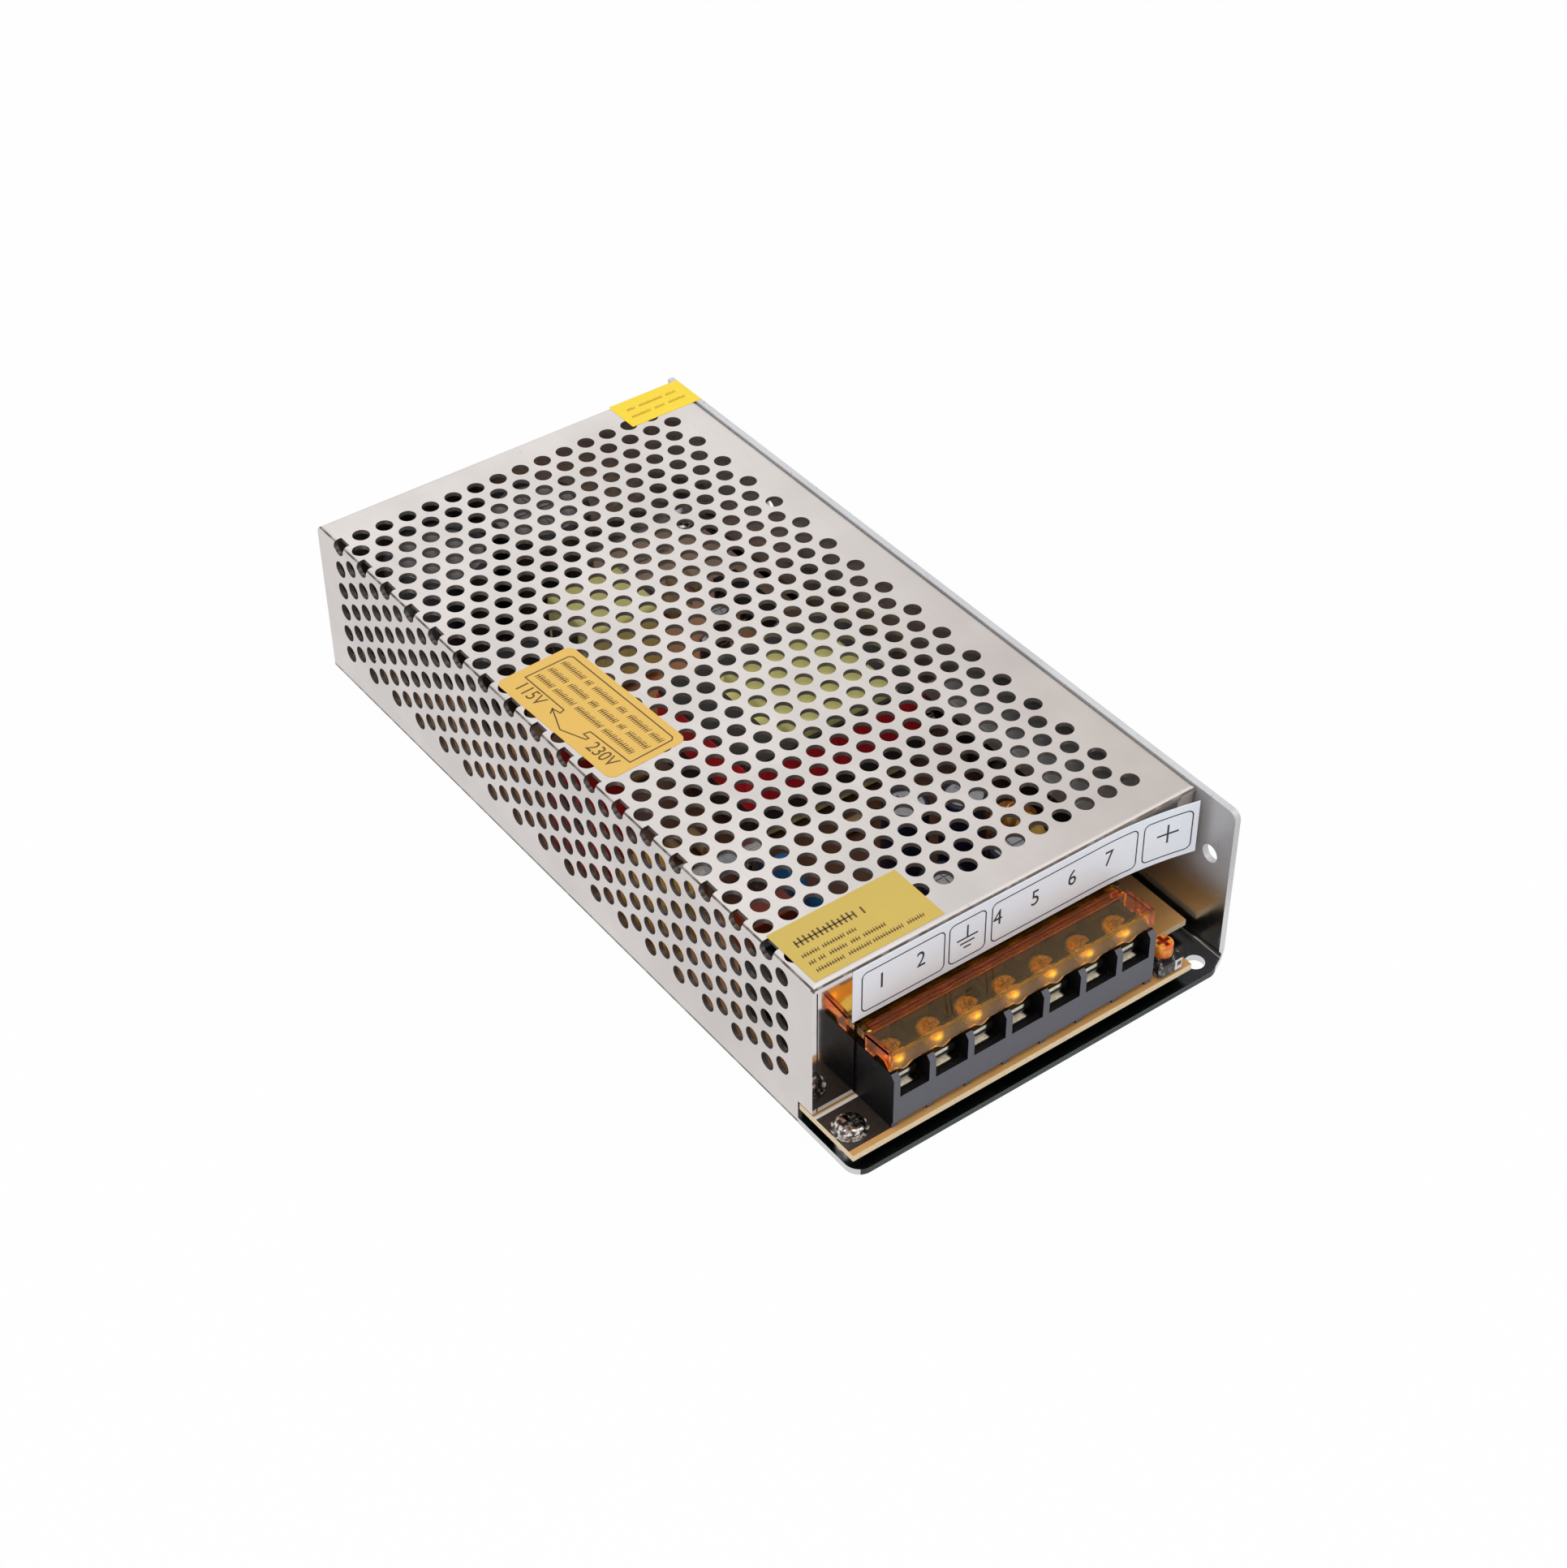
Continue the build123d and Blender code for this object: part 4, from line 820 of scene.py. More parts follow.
def rounded(width: float, height: float, radius: float, steps: int = 8) -> np.ndarray:
    """Outline of a rectangle about the origin, a quarter circle at each of its corners."""
    corner = np.array([width / 2 - radius, height / 2 - radius])
    quarters = []
    for index, signs in enumerate(((1, 1), (-1, 1), (-1, -1), (1, -1))):
        turn = np.linspace(0, np.pi / 2, steps) + index * np.pi / 2
        arc = np.stack([np.cos(turn), np.sin(turn)], -1) * radius
        quarters.append(arc + corner * np.array(signs))
    return np.vstack(quarters)


def numeral(text: str, size: float, thick: float, slim: float = 1.0) -> Shape:
    """Plain figures as a flat solid about the origin of the (u, v) plane.

    Args:
        text: the figures.
        size: height of the letter body.
        thick: thickness above the plane.
        slim: width as a share of the plain width.

    Returns:
        The figures.
    """
    curve = bpy.data.curves.new("figures", "FONT")
    curve.body = text
    curve.size = size
    curve.align_x = "CENTER"
    curve.align_y = "CENTER"
    curve.extrude = thick / 2
    curve.resolution_u = 4
    holder = linked("figures", curve)
    bpy.context.view_layer.update()
    mesh = bpy.data.meshes.new_from_object(holder)
    work = bmesh.new()
    work.from_mesh(mesh)
    bmesh.ops.remove_doubles(work, verts=work.verts, dist=1e-5)
    work.to_mesh(mesh)
    work.free()
    points = np.zeros(len(mesh.vertices) * 3)
    mesh.vertices.foreach_get("co", points)
    points = points.reshape(-1, 3) * np.array([slim, 1.0, 1.0]) + np.array([0, 0, thick / 2])
    faces = [list(p.vertices) for p in mesh.polygons]
    bpy.data.objects.remove(holder)
    bpy.data.meshes.remove(mesh)
    return Shape(points, faces)


def shifted(u: float, v: float, turn: float = 0.0) -> Place:
    """Place that turns a flat form and moves it in its plane."""
    c, s = math.cos(math.radians(turn)), math.sin(math.radians(turn))

    def move(points: np.ndarray) -> np.ndarray:
        """Turn and move."""
        spin = np.array([[c, s, 0], [-s, c, 0], [0, 0, 1]])
        return points @ spin + np.array([u, v, 0])

    return move


# Finish of each node


class Body(Enum):
    """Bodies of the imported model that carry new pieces."""

    CASE = "case"
    FLAP = "flap"


def fit(piece: bpy.types.Object, body: Body, slot: str) -> bpy.types.Object:
    """Put a new piece on its body."""
    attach(piece, body.value)
    log.info("piece %s: %d faces on %s", piece.name, len(piece.data.polygons), body.value)
    return piece


@dataclass
class Dresser:
    """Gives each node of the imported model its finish."""

    nodes: dict[str, bpy.types.Object]
    made: dict[str, bpy.types.Material] = field(default_factory=dict)

    def dress(self, finish: Finish, *names: str) -> None:
        """Put one finish on nodes.

        Args:
            finish: what they look like.
            *names: node names.
        """
        if finish.name not in self.made:
            self.made[finish.name] = finish.build()
        for name in names:
            node = self.nodes[name]
            if not node.material_slots:
                node.data.materials.append(None)
            node.material_slots[0].material = self.made[finish.name]
            log.info("node %s: %s", name, finish.name)


# Sub-assemblies


@dataclass
class Enclosure:
    """Chassis, cover and what holds them."""

    cover: CoverSheet = CoverSheet("cover_sheet", paint(212, 206, 203), 0.36)
    chassis: ChassisSheet = ChassisSheet("chassis_sheet", paint(206, 206, 208), 0.2, 0.12)
    plating: Plated = Plated("screw_plating", paint(214, 212, 208))
    heads: ScrewHead = ScrewHead("head_plating", paint(226, 222, 218), CORNER_SCREW, 6.9)

    def dress(self, dresser: Dresser) -> None:
        """Finish the sheet parts and their screws."""
        dresser.dress(self.cover, "cover")
        dresser.dress(self.chassis, "chassis")
        dresser.dress(self.plating, "cover_screws", "board_standoffs")
        dresser.dress(self.heads, "board_screws")


@dataclass
class Board:
    """Circuit board with the small parts soldered on it."""

    low: float = 4.2
    top: float = 5.8
    patch: Point = (-38.6, -97.0, -86.7)
    cover_front: float = COVER_FRONT
    fuse_ends: tuple[float, float] = (-32.0, -22.0)
    screw: tuple[float, float] = CORNER_SCREW
    washer_inner: float = 3.05
    washer_outer: float = 3.85
    washer_thick: float = 0.45
    teeth: int = 12

    def dress(self, dresser: Dresser) -> None:
        """Finish the board and its parts."""
        dull = (paint(112, 108, 108), paint(150, 146, 144))
        bright = (paint(168, 168, 170), paint(236, 238, 240))
        for finish, *names in (
                (Laminate("board_laminate", self.low, self.patch, self.cover_front),
                 "circuit_board"),
                (Plated("solder_tin", paint(226, 226, 226), 0.25), "jumper_wires", "fuse_clips"),
                (Moulded("chip_black", paint(30, 30, 32), 0.5), "control_chips", "power_parts",
                 "bridge_rectifier", "thermistor", "line_choke"),
                (Moulded("resistor_body", paint(176, 148, 104), 0.4), "resistors"),
                (Moulded("film_box_gold", paint(206, 150, 44), 0.35), "x_capacitor"),
                (Moulded("film_dip_brown", paint(138, 52, 28), 0.3), "film_capacitor"),
                (Moulded("disc_blue", paint(44, 122, 184), 0.4), "disc_capacitors"),
                (Moulded("core_powder_yellow", paint(232, 190, 92), 0.6), "output_choke_core"),
                (Plated("wire_copper", paint(236, 156, 84), 0.3, 0.5), "output_choke_winding"),
                (Tubed("fuse_glass", *self.fuse_ends), "fuse"),
                (Sleeved("bulk_can", paint(24, 26, 34), 36.0, dull), "bulk_capacitors"),
                (Sleeved("output_can", paint(28, 34, 60), 28.0, bright), "output_capacitors"),
                (Sleeved("small_can", paint(28, 34, 60), 16.8, bright), "small_capacitors"),
                (SheetMetal("spreader_aluminium", paint(158, 157, 156), 0.42, metal=0.35),
                 "heat_spreader")):
            dresser.dress(finish, *names)

    def washer(self) -> None:
        """Toothed lock washer round the corner screw's head.

        A flat ring whose top rises and falls as a cosine with the teeth, largest at its outer edge.
        """
        turn = np.linspace(0, 2 * np.pi, self.teeth * 12, endpoint=False)
        wave = 0.5 + 0.5 * np.cos(turn * self.teeth)
        outer = self.washer_outer - 0.25 * (1 - wave)
        lift = self.washer_thick * (0.45 + 0.55 * wave)
        inner = np.full_like(turn, self.washer_inner)
        floor = np.full_like(turn, self.top + 0.01)
        x, y = self.screw
        rings = [np.stack([x + r * np.cos(turn), y + r * np.sin(turn), z], -1)
                 for r, z in ((inner, floor), (outer, floor), (outer, floor + lift),
                              (inner, floor + self.washer_thick * 0.6))]
        plating = Plated("washer_plating", paint(206, 200, 192), 0.18).build()
        fit(skin(np.stack(rings), True).piece("lock_washer", plating), Body.CASE, "plated")

    def build(self, dresser: Dresser) -> None:
        """Dress the board and add its washer."""
        self.dress(dresser)
        self.washer()


@dataclass
class Transformers:
    """Main and driver transformer, with their taped coils."""

    yellow: Tape = Tape("tape_yellow", paint(255, 250, 168), paint(234, 224, 126))
    red: Tape = Tape("tape_red", paint(255, 50, 60), paint(200, 24, 36))
    ferrite: Moulded = Moulded("ferrite_dark", paint(52, 50, 50), 0.6)

    def dress(self, dresser: Dresser) -> None:
        """Finish the cores and coils."""
        dresser.dress(self.yellow, "transformer_winding", "driver_winding")
        dresser.dress(self.red, "transformer_belt")
        dresser.dress(self.ferrite, "transformer_core", "driver_core")


@dataclass
class TerminalBlock:
    """Screw terminals with their hinged see-through guard."""

    left: float = -38.6
    pitch: float = 9.5
    ways: int = 7
    pivot: tuple[float, float] = (-87.0, 23.6)
    barrel: float = 1.1
    bore: float = 0.65
    lug: float = 1.6
    thick: float = 0.9
    plate_rear: tuple[float, float] = (-88.3, 24.25)
    ridge: tuple[float, float] = (-95.95, 25.05)
    ridge_round: float = 0.9
    lip_low: float = 20.4
    lobe_depth: float = 1.0
    lobe_half: float = 2.3
    lobe_shift: float = 3.5
    way_steps: int = 32
    smooth: float = 40.0
    web_thick: float = 0.8
    # Sections of (y, z) points about the pivot
    neck: Profile = ((-2.0, 0.3), (-2.0, 1.05), (-0.2, 1.05), (-0.2, 0.75))
    web: Profile = ((-1.5, 1.0), (-8.6, 1.6), (-8.6, -3.0), (-7.4, -1.6), (-5.0, -1.6),
                    (-4.0, -3.2), (-1.5, -3.2))
    amber: ClearPlastic = ClearPlastic("guard_amber", paint(252, 194, 74), 0.985, 0.0)
    # The lip's last colour is its painted glowing highlight over each way
    gold: ClearPlastic = ClearPlastic("guard_lip_gold", paint(252, 178, 44), 0.95, 0.01,
                                      paint(255, 200, 34))
    orange: ClearPlastic = ClearPlastic("guard_web_orange", paint(252, 136, 34), 0.92, 0.02)
    brown: ClearPlastic = ClearPlastic("guard_barrel_brown", paint(240, 158, 74), 0.98, 0.01)

    @property
    def right(self) -> float:
        """X of the block's right end."""
        return self.left + self.pitch * self.ways

    def dress(self, dresser: Dresser) -> None:
        """Finish the block's own nodes."""
        # Lit front colour, then the painted shade colour of the cells and sides
        plastic = BlockPlastic("block_plastic", paint(101, 101, 110), paint(14, 14, 16))
        clamps = ClampMetal("clamp_tin", paint(250, 246, 228), self.left, self.pitch)
        dresser.dress(plastic, "terminal_block")
        dresser.dress(clamps, "terminal_contacts", "terminal_clamps")
        screws = Plated("terminal_tin", paint(255, 250, 226), 0.2, 0.55, 0.6)
        dresser.dress(screws, "terminal_screws")
        dresser.dress(self.amber, "terminal_cover_rear")

    def lip(self, x: np.ndarray) -> np.ndarray:
        """Height of the lip's lower edge: level, with a cosine lobe right of each barrier."""
        way = np.clip(np.floor((x - self.left) / self.pitch), 0, self.ways - 1)
        centre = self.left + way * self.pitch + self.lobe_shift
        away = np.clip(np.abs(x - centre) / self.lobe_half, 0, 1)
        return self.lip_low - self.lobe_depth * (0.5 + 0.5 * np.cos(np.pi * away))

    def section(self, x: float, low: float, lip: bool) -> np.ndarray:
        """Closed section of the guard's plate or of its lip, at one x.

        A middle line runs along the sloping plate, round the ridge on a quarter turn and down the
        lip. It is offset by half the thickness to both sides, and the lower edge is a half circle.
        The plate and the lip part half-way round the ridge.
        """
        start, ridge = np.array(self.plate_rear), np.array(self.ridge)
        along = (ridge - start) / np.linalg.norm(ridge - start)
        down = np.array([0.0, -self.ridge_round])
        plate = start + np.linspace(0, 1, 8)[:, None] * (ridge - along * self.ridge_round - start)
        # Quadratic blend from the plate's line to the lip's line
        turn = np.linspace(0, 1, 9)[1:, None]
        first, last = plate[-1], ridge + down
        bend = first * (1 - turn) ** 2 + ridge * 2 * turn * (1 - turn) + last * turn ** 2
        end = np.array([ridge[0], low + self.thick / 2])
        fall = last + np.linspace(0, 1, 7)[1:, None] * (end - last)
        line = np.vstack([plate, bend, fall])
        step = np.gradient(line, axis=0)
        step /= np.linalg.norm(step, axis=1, keepdims=True)
        side = np.stack([step[:, 1], -step[:, 0]], -1) * self.thick / 2
        around = np.linspace(0, np.pi, 7)[1:-1]
        tip = line[-1] + self.thick / 2 * np.stack([-np.cos(around), -np.sin(around)], -1)
        outer, inner = line + side, line - side
        half = len(plate) + len(bend) // 2
        if lip:
            loop = np.vstack([outer[half:], tip, inner[half:][::-1]])
        else:
            loop = np.vstack([outer[:half + 1], inner[:half + 1][::-1]])
        return np.hstack([np.full((len(loop), 1), x), loop])

    def bar(self, profile: Profile, low: float, high: float) -> Shape:
        """Section of (y, z) points about the pivot, drawn along X."""
        section = np.array(profile) + np.array(self.pivot)
        rings = [np.hstack([np.full((len(section), 1), x), section]) for x in (low, high)]
        return skin(np.stack(rings))

    def guard(self) -> None:
        """Hinged guard: clear plate, golden lobed lip, hinge barrel with its neck, two end webs."""
        stations = np.linspace(self.left, self.right, self.ways * self.way_steps + 1)
        for name, lip, finish in (("guard_flap", False, self.amber),
                                  ("guard_lip", True, self.gold)):
            rings = [self.section(x, low, lip) for x, low in zip(stations, self.lip(stations))]
            piece = skin(np.stack(rings)).piece(name, finish.build(), self.smooth)
            if not lip:
                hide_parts("terminal_cover")
            fit(piece, Body.FLAP, "orange_clear")
        low, high = self.left + self.lug, self.right - self.lug
        turn = np.linspace(0, 2 * np.pi, 24, endpoint=False)
        circle = np.stack([np.zeros_like(turn), np.cos(turn), np.sin(turn)], -1)
        axis = np.array([0, *self.pivot])
        ends = ((low, self.barrel), (high, self.barrel), (high, self.bore), (low, self.bore))
        tube = [axis + circle * radius + np.array([x, 0, 0]) for x, radius in ends]
        barrel = skin(np.stack(tube), True) + self.bar(self.neck, low, high)
        webs = merged(self.bar(self.web, x, x + self.web_thick)
                      for x in (self.left, self.right - self.web_thick))
        for name, shape, finish in (("guard_barrel", barrel, self.brown),
                                    ("guard_webs", webs, self.orange)):
            fit(shape.piece(name, finish.build(), self.smooth), Body.FLAP, "orange_clear")

    def build(self, dresser: Dresser) -> None:
        """Dress the block and build its guard."""
        self.dress(dresser)
        self.guard()


@dataclass(frozen=True)
class Sticker:
    """One sticker on the top: its names, stock and outline, turned in degrees."""

    name: str
    node: str
    slot: str
    stock: Paper
    x: float
    y: float
    width: float
    height: float
    turn: float
    radius: float


@dataclass
class Labels:
    """Stickers: strip over the terminals, orange and yellow ones on the top, seal at a corner."""

    thick: float = 0.1
    cover_top: float = COVER_TOP
    ink_thick: float = 0.02
    ink_gap: float = 0.005
    pen: float = 0.3
    wave: float = 0.02
    rim_lifts: tuple[float, ...] = (0.96, 0.7, 0.0, 0.0)
    rim_scales: tuple[float, ...] = (0.995, 1.0, 1.0, 0.02)
    strip_plane: float = COVER_FRONT
    strip_bend: float = 22.0
    strip_right: float = 45.5
    strip_curl: float = 3.0
    strip_thick: float = 0.15
    frame_low: float = 27.2
    frame_high: float = 37.3
    frame_pen: float = 0.28
    frame_round: float = 1.3
    frames: Profile = ((-37.4, -17.4), (-16.2, -7.2), (-5.6, 31.4), (33.0, 44.2))
    earth_way: int = 2
    earth_x: float = -11.7
    earth_bars: Profile = ((2.6, 32.4), (1.8, 31.2), (0.9, 30.0))
    earth_top: float = 35.6
    earth_pen: float = 0.4
    plus: tuple[Profile, ...] = (((36.2, 33.0), (41.2, 33.0)), ((38.7, 35.4), (38.7, 30.6)))
    plus_pen: float = 0.45
    figure_size: float = 5.6
    figure_shift: float = 1.2
    figure_z: float = 33.0
    figure_slim: float = 0.85
    volts_size: float = 4.6
    stroke_lean: float = 0.18
    strip: Paper = Paper("paper_white", paint(242, 245, 253), 0.35, 0.03)
    ink: Paper = Paper("ink_black", paint(46, 44, 46), 0.5)
    brown_ink: Paper = Paper("ink_brown", paint(92, 66, 26), 0.5)
    seal_ink: Paper = Paper("ink_seal", paint(206, 158, 30), 0.5)
    voltage: Sticker = Sticker("voltage_sticker", "voltage_label", "orange_paper",
                               Paper("paper_orange", paint(228, 184, 88), 0.4),
                               -36.5, 7.2, 19.6, 40.2, 2.8, 2.0)
    front: Sticker = Sticker("front_sticker", "front_label", "yellow_paper",
                             Paper("paper_yellow", paint(206, 177, 84), 0.4),
                             -31.7, -76.3, 31.0, 15.5, 0.0, 0.3)
    seal: Sticker = Sticker("corner_sticker", "corner_seal", "yellow_paper",
                            Paper("seal_yellow", paint(250, 217, 44), 0.4),
                            39.15, 92.85, 19.5, 10.1, 0.0, 0.3)

    def sheet(self, sticker: Sticker) -> None:
        """Thin sticker on the top, its surface slightly uneven and its rim turned down.

        Concentric round rectangles run from the middle of its top out to the rim and back under
        it. Its height is the sticker's thickness less two small sine waves.
        """
        scales = np.concatenate([np.linspace(0.02, 0.97, 16), self.rim_scales])
        lifts = np.concatenate([np.full(16, 1.0), self.rim_lifts])[:, None]
        outline = rounded(sticker.width, sticker.height, sticker.radius, 10)
        points = scales[:, None, None] * outline[None]
        u, v = points[..., 0], points[..., 1]
        wave = 0.5 + 0.25 * np.sin(u * 0.9) + 0.25 * np.sin(v * 0.7 + u * 0.3)
        z = self.cover_top + self.thick * lifts - self.wave * wave * (lifts > 0.9)
        shape = skin(np.concatenate([points, z[..., None]], -1))
        place = shifted(sticker.x, sticker.y, sticker.turn)
        piece = shape.moved(place).piece(sticker.name, sticker.stock.build(), 60.0)
        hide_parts(sticker.node)
        fit(piece, Body.CASE, sticker.slot)

    def print_on(self, sticker: Sticker, name: str, shape: Shape, ink: Paper,
                 turn: float = 0.0) -> None:
        """Lay a flat drawing on a sticker's face, turned against the sticker by some degrees."""
        flat = shape.moved(shifted(sticker.x, sticker.y, sticker.turn + turn))
        lift = np.array([0, 0, self.cover_top + self.thick + self.ink_gap])
        piece = flat.moved(lambda points: points + lift).piece(name, ink.build())
        fit(piece, Body.CASE, sticker.slot)

    def on_strip(self, points: np.ndarray) -> np.ndarray:
        """Move (x, z, thickness) points to the strip's face, by the square law of its curl."""
        run = self.strip_right - self.strip_bend
        share = np.clip((points[:, 0] - self.strip_bend) / run, 0, None)
        y = self.strip_plane - self.strip_curl * share ** 2 - self.strip_thick - self.ink_gap
        return np.stack([points[:, 0], y - points[:, 2], points[:, 1]], -1)

    def line(self, path: Any, width: float, closed: bool = False) -> Shape:
        """Inked line along a path of (u, v) points."""
        return ribbon(np.array(path), width, self.ink_thick, closed)

    def figures(self, text: str, size: float, place: Place) -> Shape:
        """Inked plain figures."""
        return numeral(text, size, self.ink_thick, self.figure_slim).moved(place)

    def strip_print(self) -> None:
        """Frames, figures, the earth sign and the plus sign on the strip."""
        marks = []
        for start, end in self.frames:
            middle = np.array([(start + end) / 2, (self.frame_low + self.frame_high) / 2])
            outline = rounded(end - start, self.frame_high - self.frame_low, self.frame_round)
            outline = self.refined(outline + middle, 1.0)
            marks.append(self.line(outline, self.frame_pen, True))
        for way in range(TerminalBlock.ways):
            if way != self.earth_way:
                x = TerminalBlock.left + TerminalBlock.pitch * (way + 0.5) + self.figure_shift
                place = shifted(x, self.figure_z)
                marks.append(self.figures(str(way + 1), self.figure_size, place))
        for half, z in self.earth_bars:
            bar = [(self.earth_x - half, z), (self.earth_x + half, z)]
            marks.append(self.line(bar, self.earth_pen))
        stem = [(self.earth_x, self.earth_top), (self.earth_x, self.earth_bars[0][1])]
        marks.append(self.line(stem, self.earth_pen))
        for path in self.plus:
            marks.append(self.line(self.refined(np.array(path), 0.5, False), self.plus_pen))
        piece = merged(marks).moved(self.on_strip).piece("strip_print", self.ink.build())
        fit(piece, Body.CASE, "paper")

    @staticmethod
    def refined(path: np.ndarray, step: float, closed: bool = True) -> np.ndarray:
        """Path with extra points on its long runs, so that it can follow a bend."""
        corners = np.vstack([path, path[:1]]) if closed else path
        out = []
        for start, end in zip(corners, corners[1:]):
            count = max(1, int(np.linalg.norm(end - start) / step))
            out.append(start + np.arange(count)[:, None] / count * (end - start))
        return np.vstack(out if closed else [*out, path[-1:]])

    def rows(self, table: Rows, tall: float, pitch: float = 0.62, wide: float = 0.2) -> Shape:
        """Rows of small upright strokes that read as lines of fine print.

        Args:
            table: u of each row's middle, with the span of each of its words along v.
            tall: height of the strokes.
            pitch: distance from stroke to stroke.
            wide: width of a stroke.

        Returns:
            The rows: a thin line through each word, its strokes tall and short in turn.
        """
        marks = []
        for across, words in table:
            foot = across - tall * 0.5
            for start, end in words:
                stations = np.arange(start, end, -pitch)
                for index, v in enumerate(stations):
                    reach = tall * (0.5 if index % 3 else 0.42)
                    head = (foot + 2 * reach, v - self.stroke_lean)
                    marks.append(self.line([(foot, v), head], wide))
                through = [(across - 0.1, start), (across - 0.1, stations[-1])]
                marks.append(self.line(through, wide * 0.8))
        return merged(marks)

    def voltage_print(self) -> None:
        """Frame, switch sign, figures and rows of fine print on the orange sticker."""
        lines = [self.line(path, self.pen) for path in (
            [(-4.0, 3.6), (-3.9, 17.5), (7.2, 17.3), (7.9, 16.6), (7.9, -17.6), (7.2, -18.3),
             (-3.6, -18.4), (-4.0, -5.5)],
            [(-4.0, 3.6), (-5.2, 3.3), (-5.6, 5.5), (-6.9, 4.4)],
            [(-5.6, 5.5), (-8.4, -1.0), (-6.2, -6.9)],
            [(-4.0, -5.5), (-5.5, -5.2), (-5.5, -7.0), (-6.2, -6.9)])]
        figures = [self.figures(volts, self.volts_size, shifted(u, v, -90))
                   for volts, u, v in (("115V", -6.3, 12.4), ("230V", -6.5, -12.8))]
        rows = self.rows(
            ((5.3, ((16.4, 9.4), (8.2, 6.6), (5.4, -1.6), (-3.0, -5.4), (-6.6, -13.0),
                    (-14.0, -17.4))),
             (1.9, ((16.4, 10.6), (9.4, 3.4), (2.2, 0.2), (-1.2, -6.4), (-7.6, -9.4),
                    (-10.6, -16.8))),
             (-1.4, ((16.4, 11.4), (10.2, 3.8), (2.6, -5.6), (-6.8, -16.6)))), 1.7)
        shape = merged([*lines, *figures, rows])
        self.print_on(self.voltage, "voltage_print", shape, self.brown_ink)

    def seal_print(self) -> None:
        """Two faint rows of fine print on the corner seal, a quarter turn on."""
        rows = self.rows(((-1.6, ((7.6, 2.4), (1.2, -1.6), (-2.8, -7.4))),
                          (1.4, ((7.0, 4.6), (3.6, -2.8), (-4.0, -6.6)))), 1.1)
        self.print_on(self.seal, "seal_print", rows, self.seal_ink, 90.0)

    def front_print(self) -> None:
        """A bold row and three rows of fine print on the yellow sticker, a quarter turn on."""
        bold = self.rows(((2.6, ((12.4, -1.6), (-3.4, -4.4))),), 2.3, 1.15, 0.42)
        fine = self.rows(
            ((-0.9, ((13.4, 9.4), (8.6, 3.6), (2.8, 0.6))),
             (-3.2, ((13.4, 12.0), (11.2, 9.4), (8.6, 4.4), (3.6, 1.4), (0.6, -4.6))),
             (-5.5, ((13.4, 6.6), (5.8, 0.8), (0.0, -7.4), (-8.2, -12.4)))), 1.1)
        self.print_on(self.front, "front_print", bold + fine, self.brown_ink, 90.0)

    def build(self, dresser: Dresser) -> None:
        """Dress the strip, lay the stickers and print them all."""
        dresser.dress(self.strip, "terminal_label")
        for sticker in (self.voltage, self.front, self.seal):
            self.sheet(sticker)
        self.seal_print()
        self.strip_print()
        self.voltage_print()
        self.front_print()


@dataclass
class Controls:
    """Output trimmer and voltage selector."""

    axis: tuple[float, float] = (32.6, -95.0)
    window: tuple[float, float] = (34.6, 7.9)
    rotor_floor: float = 11.8

    def dress(self, dresser: Dresser) -> None:
        """Finish the trimmer and the selector."""
        dresser.dress(TrimmerCarrier("trimmer_carrier", self.axis, self.window), "trimmer_base")
        dresser.dress(RotorPlastic("rotor_orange", self.axis, self.rotor_floor), "trimmer_rotor")
        dresser.dress(Moulded("selector_red", paint(176, 32, 34), 0.35), "selector_body")
        dresser.dress(Moulded("slider_black", paint(26, 26, 28), 0.4), "selector_slider")


# Camera, lamps and floor


def framed(right: Any, up: Any, back: Any, place: Any) -> Matrix:
    """Matrix of an object at a place, its own axes along three directions."""
    matrix = np.eye(4)
    matrix[:3, :3] = np.stack([right, up, back], 1)
    matrix[:3, 3] = place
    return Matrix(matrix.tolist())


@dataclass(frozen=True)
class Lamp:
    """Soft square lamp that looks at the object: place and side in metres, power in watts."""

    name: str
    place: Point
    side: float
    power: float
    aim: Point = (0.0, 0.0, 0.02)

    def build(self) -> None:
        """Hang the lamp."""
        data = bpy.data.lights.new(self.name, "AREA")
        data.shape = "SQUARE"
        data.size = self.side
        data.energy = self.power
        away = np.array(self.place) - np.array(self.aim)
        away /= np.linalg.norm(away)
        across = np.cross([0.0, 0.0, 1.0], away)
        across /= np.linalg.norm(across)
        lamp = linked(self.name, data)
        lamp.matrix_world = framed(across, np.cross(away, across), away, self.place)


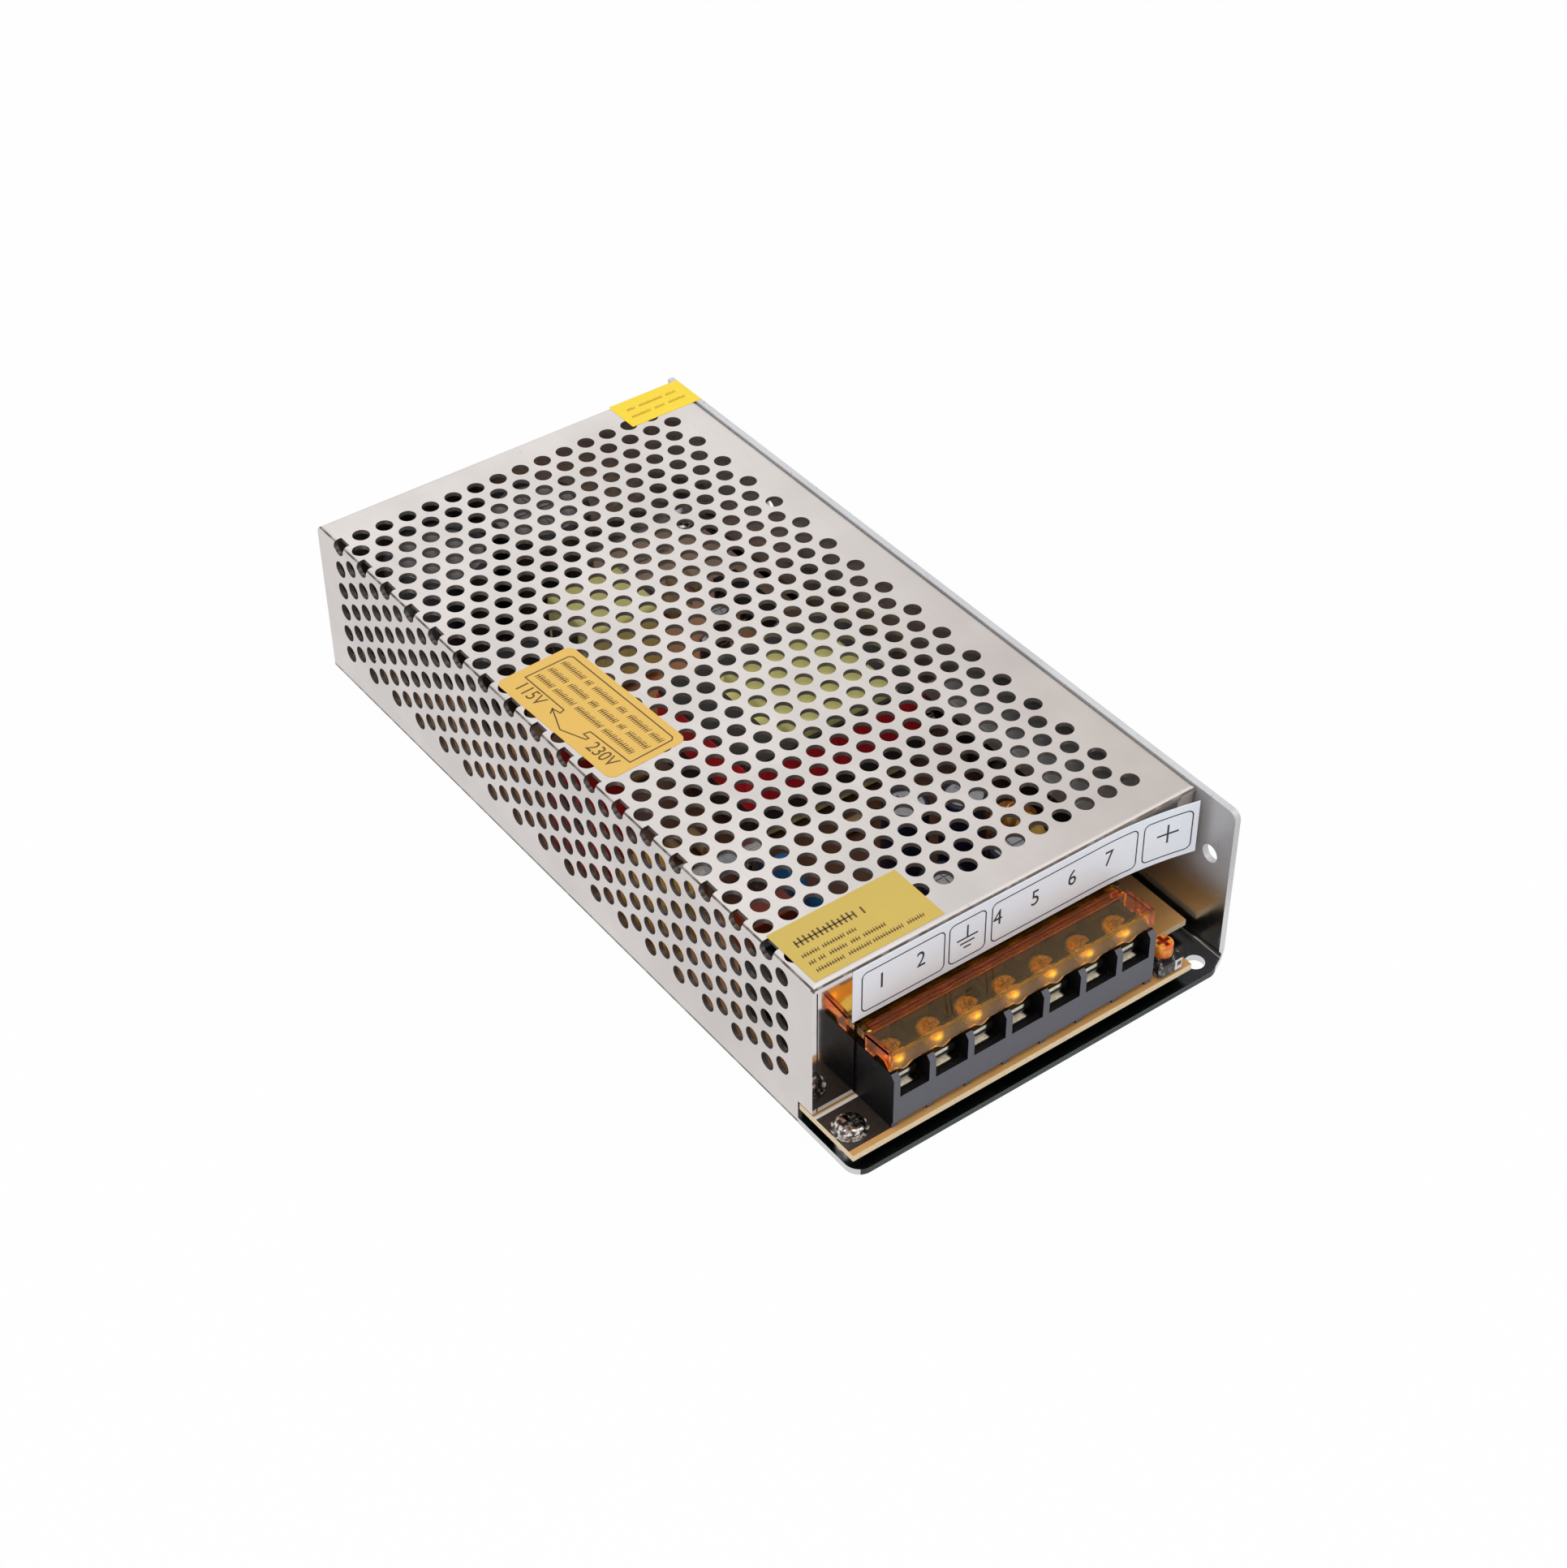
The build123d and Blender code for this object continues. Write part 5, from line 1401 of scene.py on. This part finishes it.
@dataclass
class Studio:
    """White studio: camera, lamps, world and floor."""

    camera_place: Point = (-0.2825, -0.3944, 0.4262)
    right: Point = (0.80280, -0.59623, -0.00524)
    up: Point = (0.39366, 0.52341, 0.75570)
    back: Point = (-0.44783, -0.60874, 0.65490)
    lens: float = 67.63
    sensor: float = 36.0
    floor_half: float = 3.0
    lamps: tuple[Lamp, ...] = (Lamp("key", (-1.1, -0.9, 1.5), 1.2, 10.0),
                               Lamp("side", (1.4, -0.6, 1.2), 1.0, 4.0),
                               Lamp("rear", (0.5, 1.6, 1.3), 1.2, 1.0),
                               Lamp("overhead", (-0.15, -0.1, 1.5), 0.6, 6.0))

    def camera(self) -> None:
        """Camera at the photograph's place and angle."""
        data = bpy.data.cameras.new("camera")
        data.lens = self.lens
        data.sensor_width = self.sensor
        data.sensor_fit = "HORIZONTAL"
        data.clip_start = 0.01
        data.clip_end = 50.0
        camera = linked("camera", data)
        camera.matrix_world = framed(self.right, self.up, self.back, self.camera_place)
        bpy.context.scene.camera = camera

    def world(self) -> None:
        """White world where the camera, metal or glass sees it, softer where it only lights."""
        world = bpy.data.worlds.new("studio")
        bpy.context.scene.world = world
        shader = Shader(world)
        soft, white = (shader.node("ShaderNodeBackground", {}, {"Color": colour, "Strength": power})
                       for colour, power in (((0.97, 0.98, 1.0, 1.0), 0.55),
                                             ((1.0, 1.0, 1.0, 1.0), 1.0)))
        mix = shader.node("ShaderNodeMixShader", {}, {0: shader.seen(), 1: soft, 2: white})
        shader.close(mix, "ShaderNodeOutputWorld")

    def floor(self) -> None:
        """Pale floor that shows white and keeps the object's shadow."""
        material = bpy.data.materials.new("studio_floor")
        shader = Shader(material)
        matte = shader.node("ShaderNodeBsdfDiffuse", {}, {"Color": (0.86, 0.86, 0.86, 1.0)})
        glow = shader.node("ShaderNodeEmission", {}, {"Color": (1, 1, 1, 1), "Strength": 1.0})
        share = shader.seen() * 0.95
        shader.close(shader.node("ShaderNodeMixShader", {}, {0: share, 1: matte, 2: glow}))
        half = self.floor_half
        mesh = bpy.data.meshes.new("floor")
        corners = [(-half, -half, 0), (half, -half, 0), (half, half, 0), (-half, half, 0)]
        mesh.from_pydata(corners, [], [[0, 1, 2, 3]])
        mesh.materials.append(material)
        floor = linked("floor", mesh)

    def build(self) -> None:
        """Set up the whole studio."""
        bpy.context.scene.view_settings.view_transform = "Standard"
        self.camera()
        self.world()
        self.floor()
        for lamp in self.lamps:
            lamp.build()


def main() -> None:
    """Load the frame, build the studio and every sub-assembly."""
    logging.basicConfig(level=logging.INFO, format="%(message)s")
    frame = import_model()
    dresser = Dresser(frame["nodes"])
    Studio().build()
    Enclosure().dress(dresser)
    Board().build(dresser)
    Transformers().dress(dresser)
    TerminalBlock().build(dresser)
    Controls().dress(dresser)
    Labels().build(dresser)


if __name__ == "__main__":
    main()
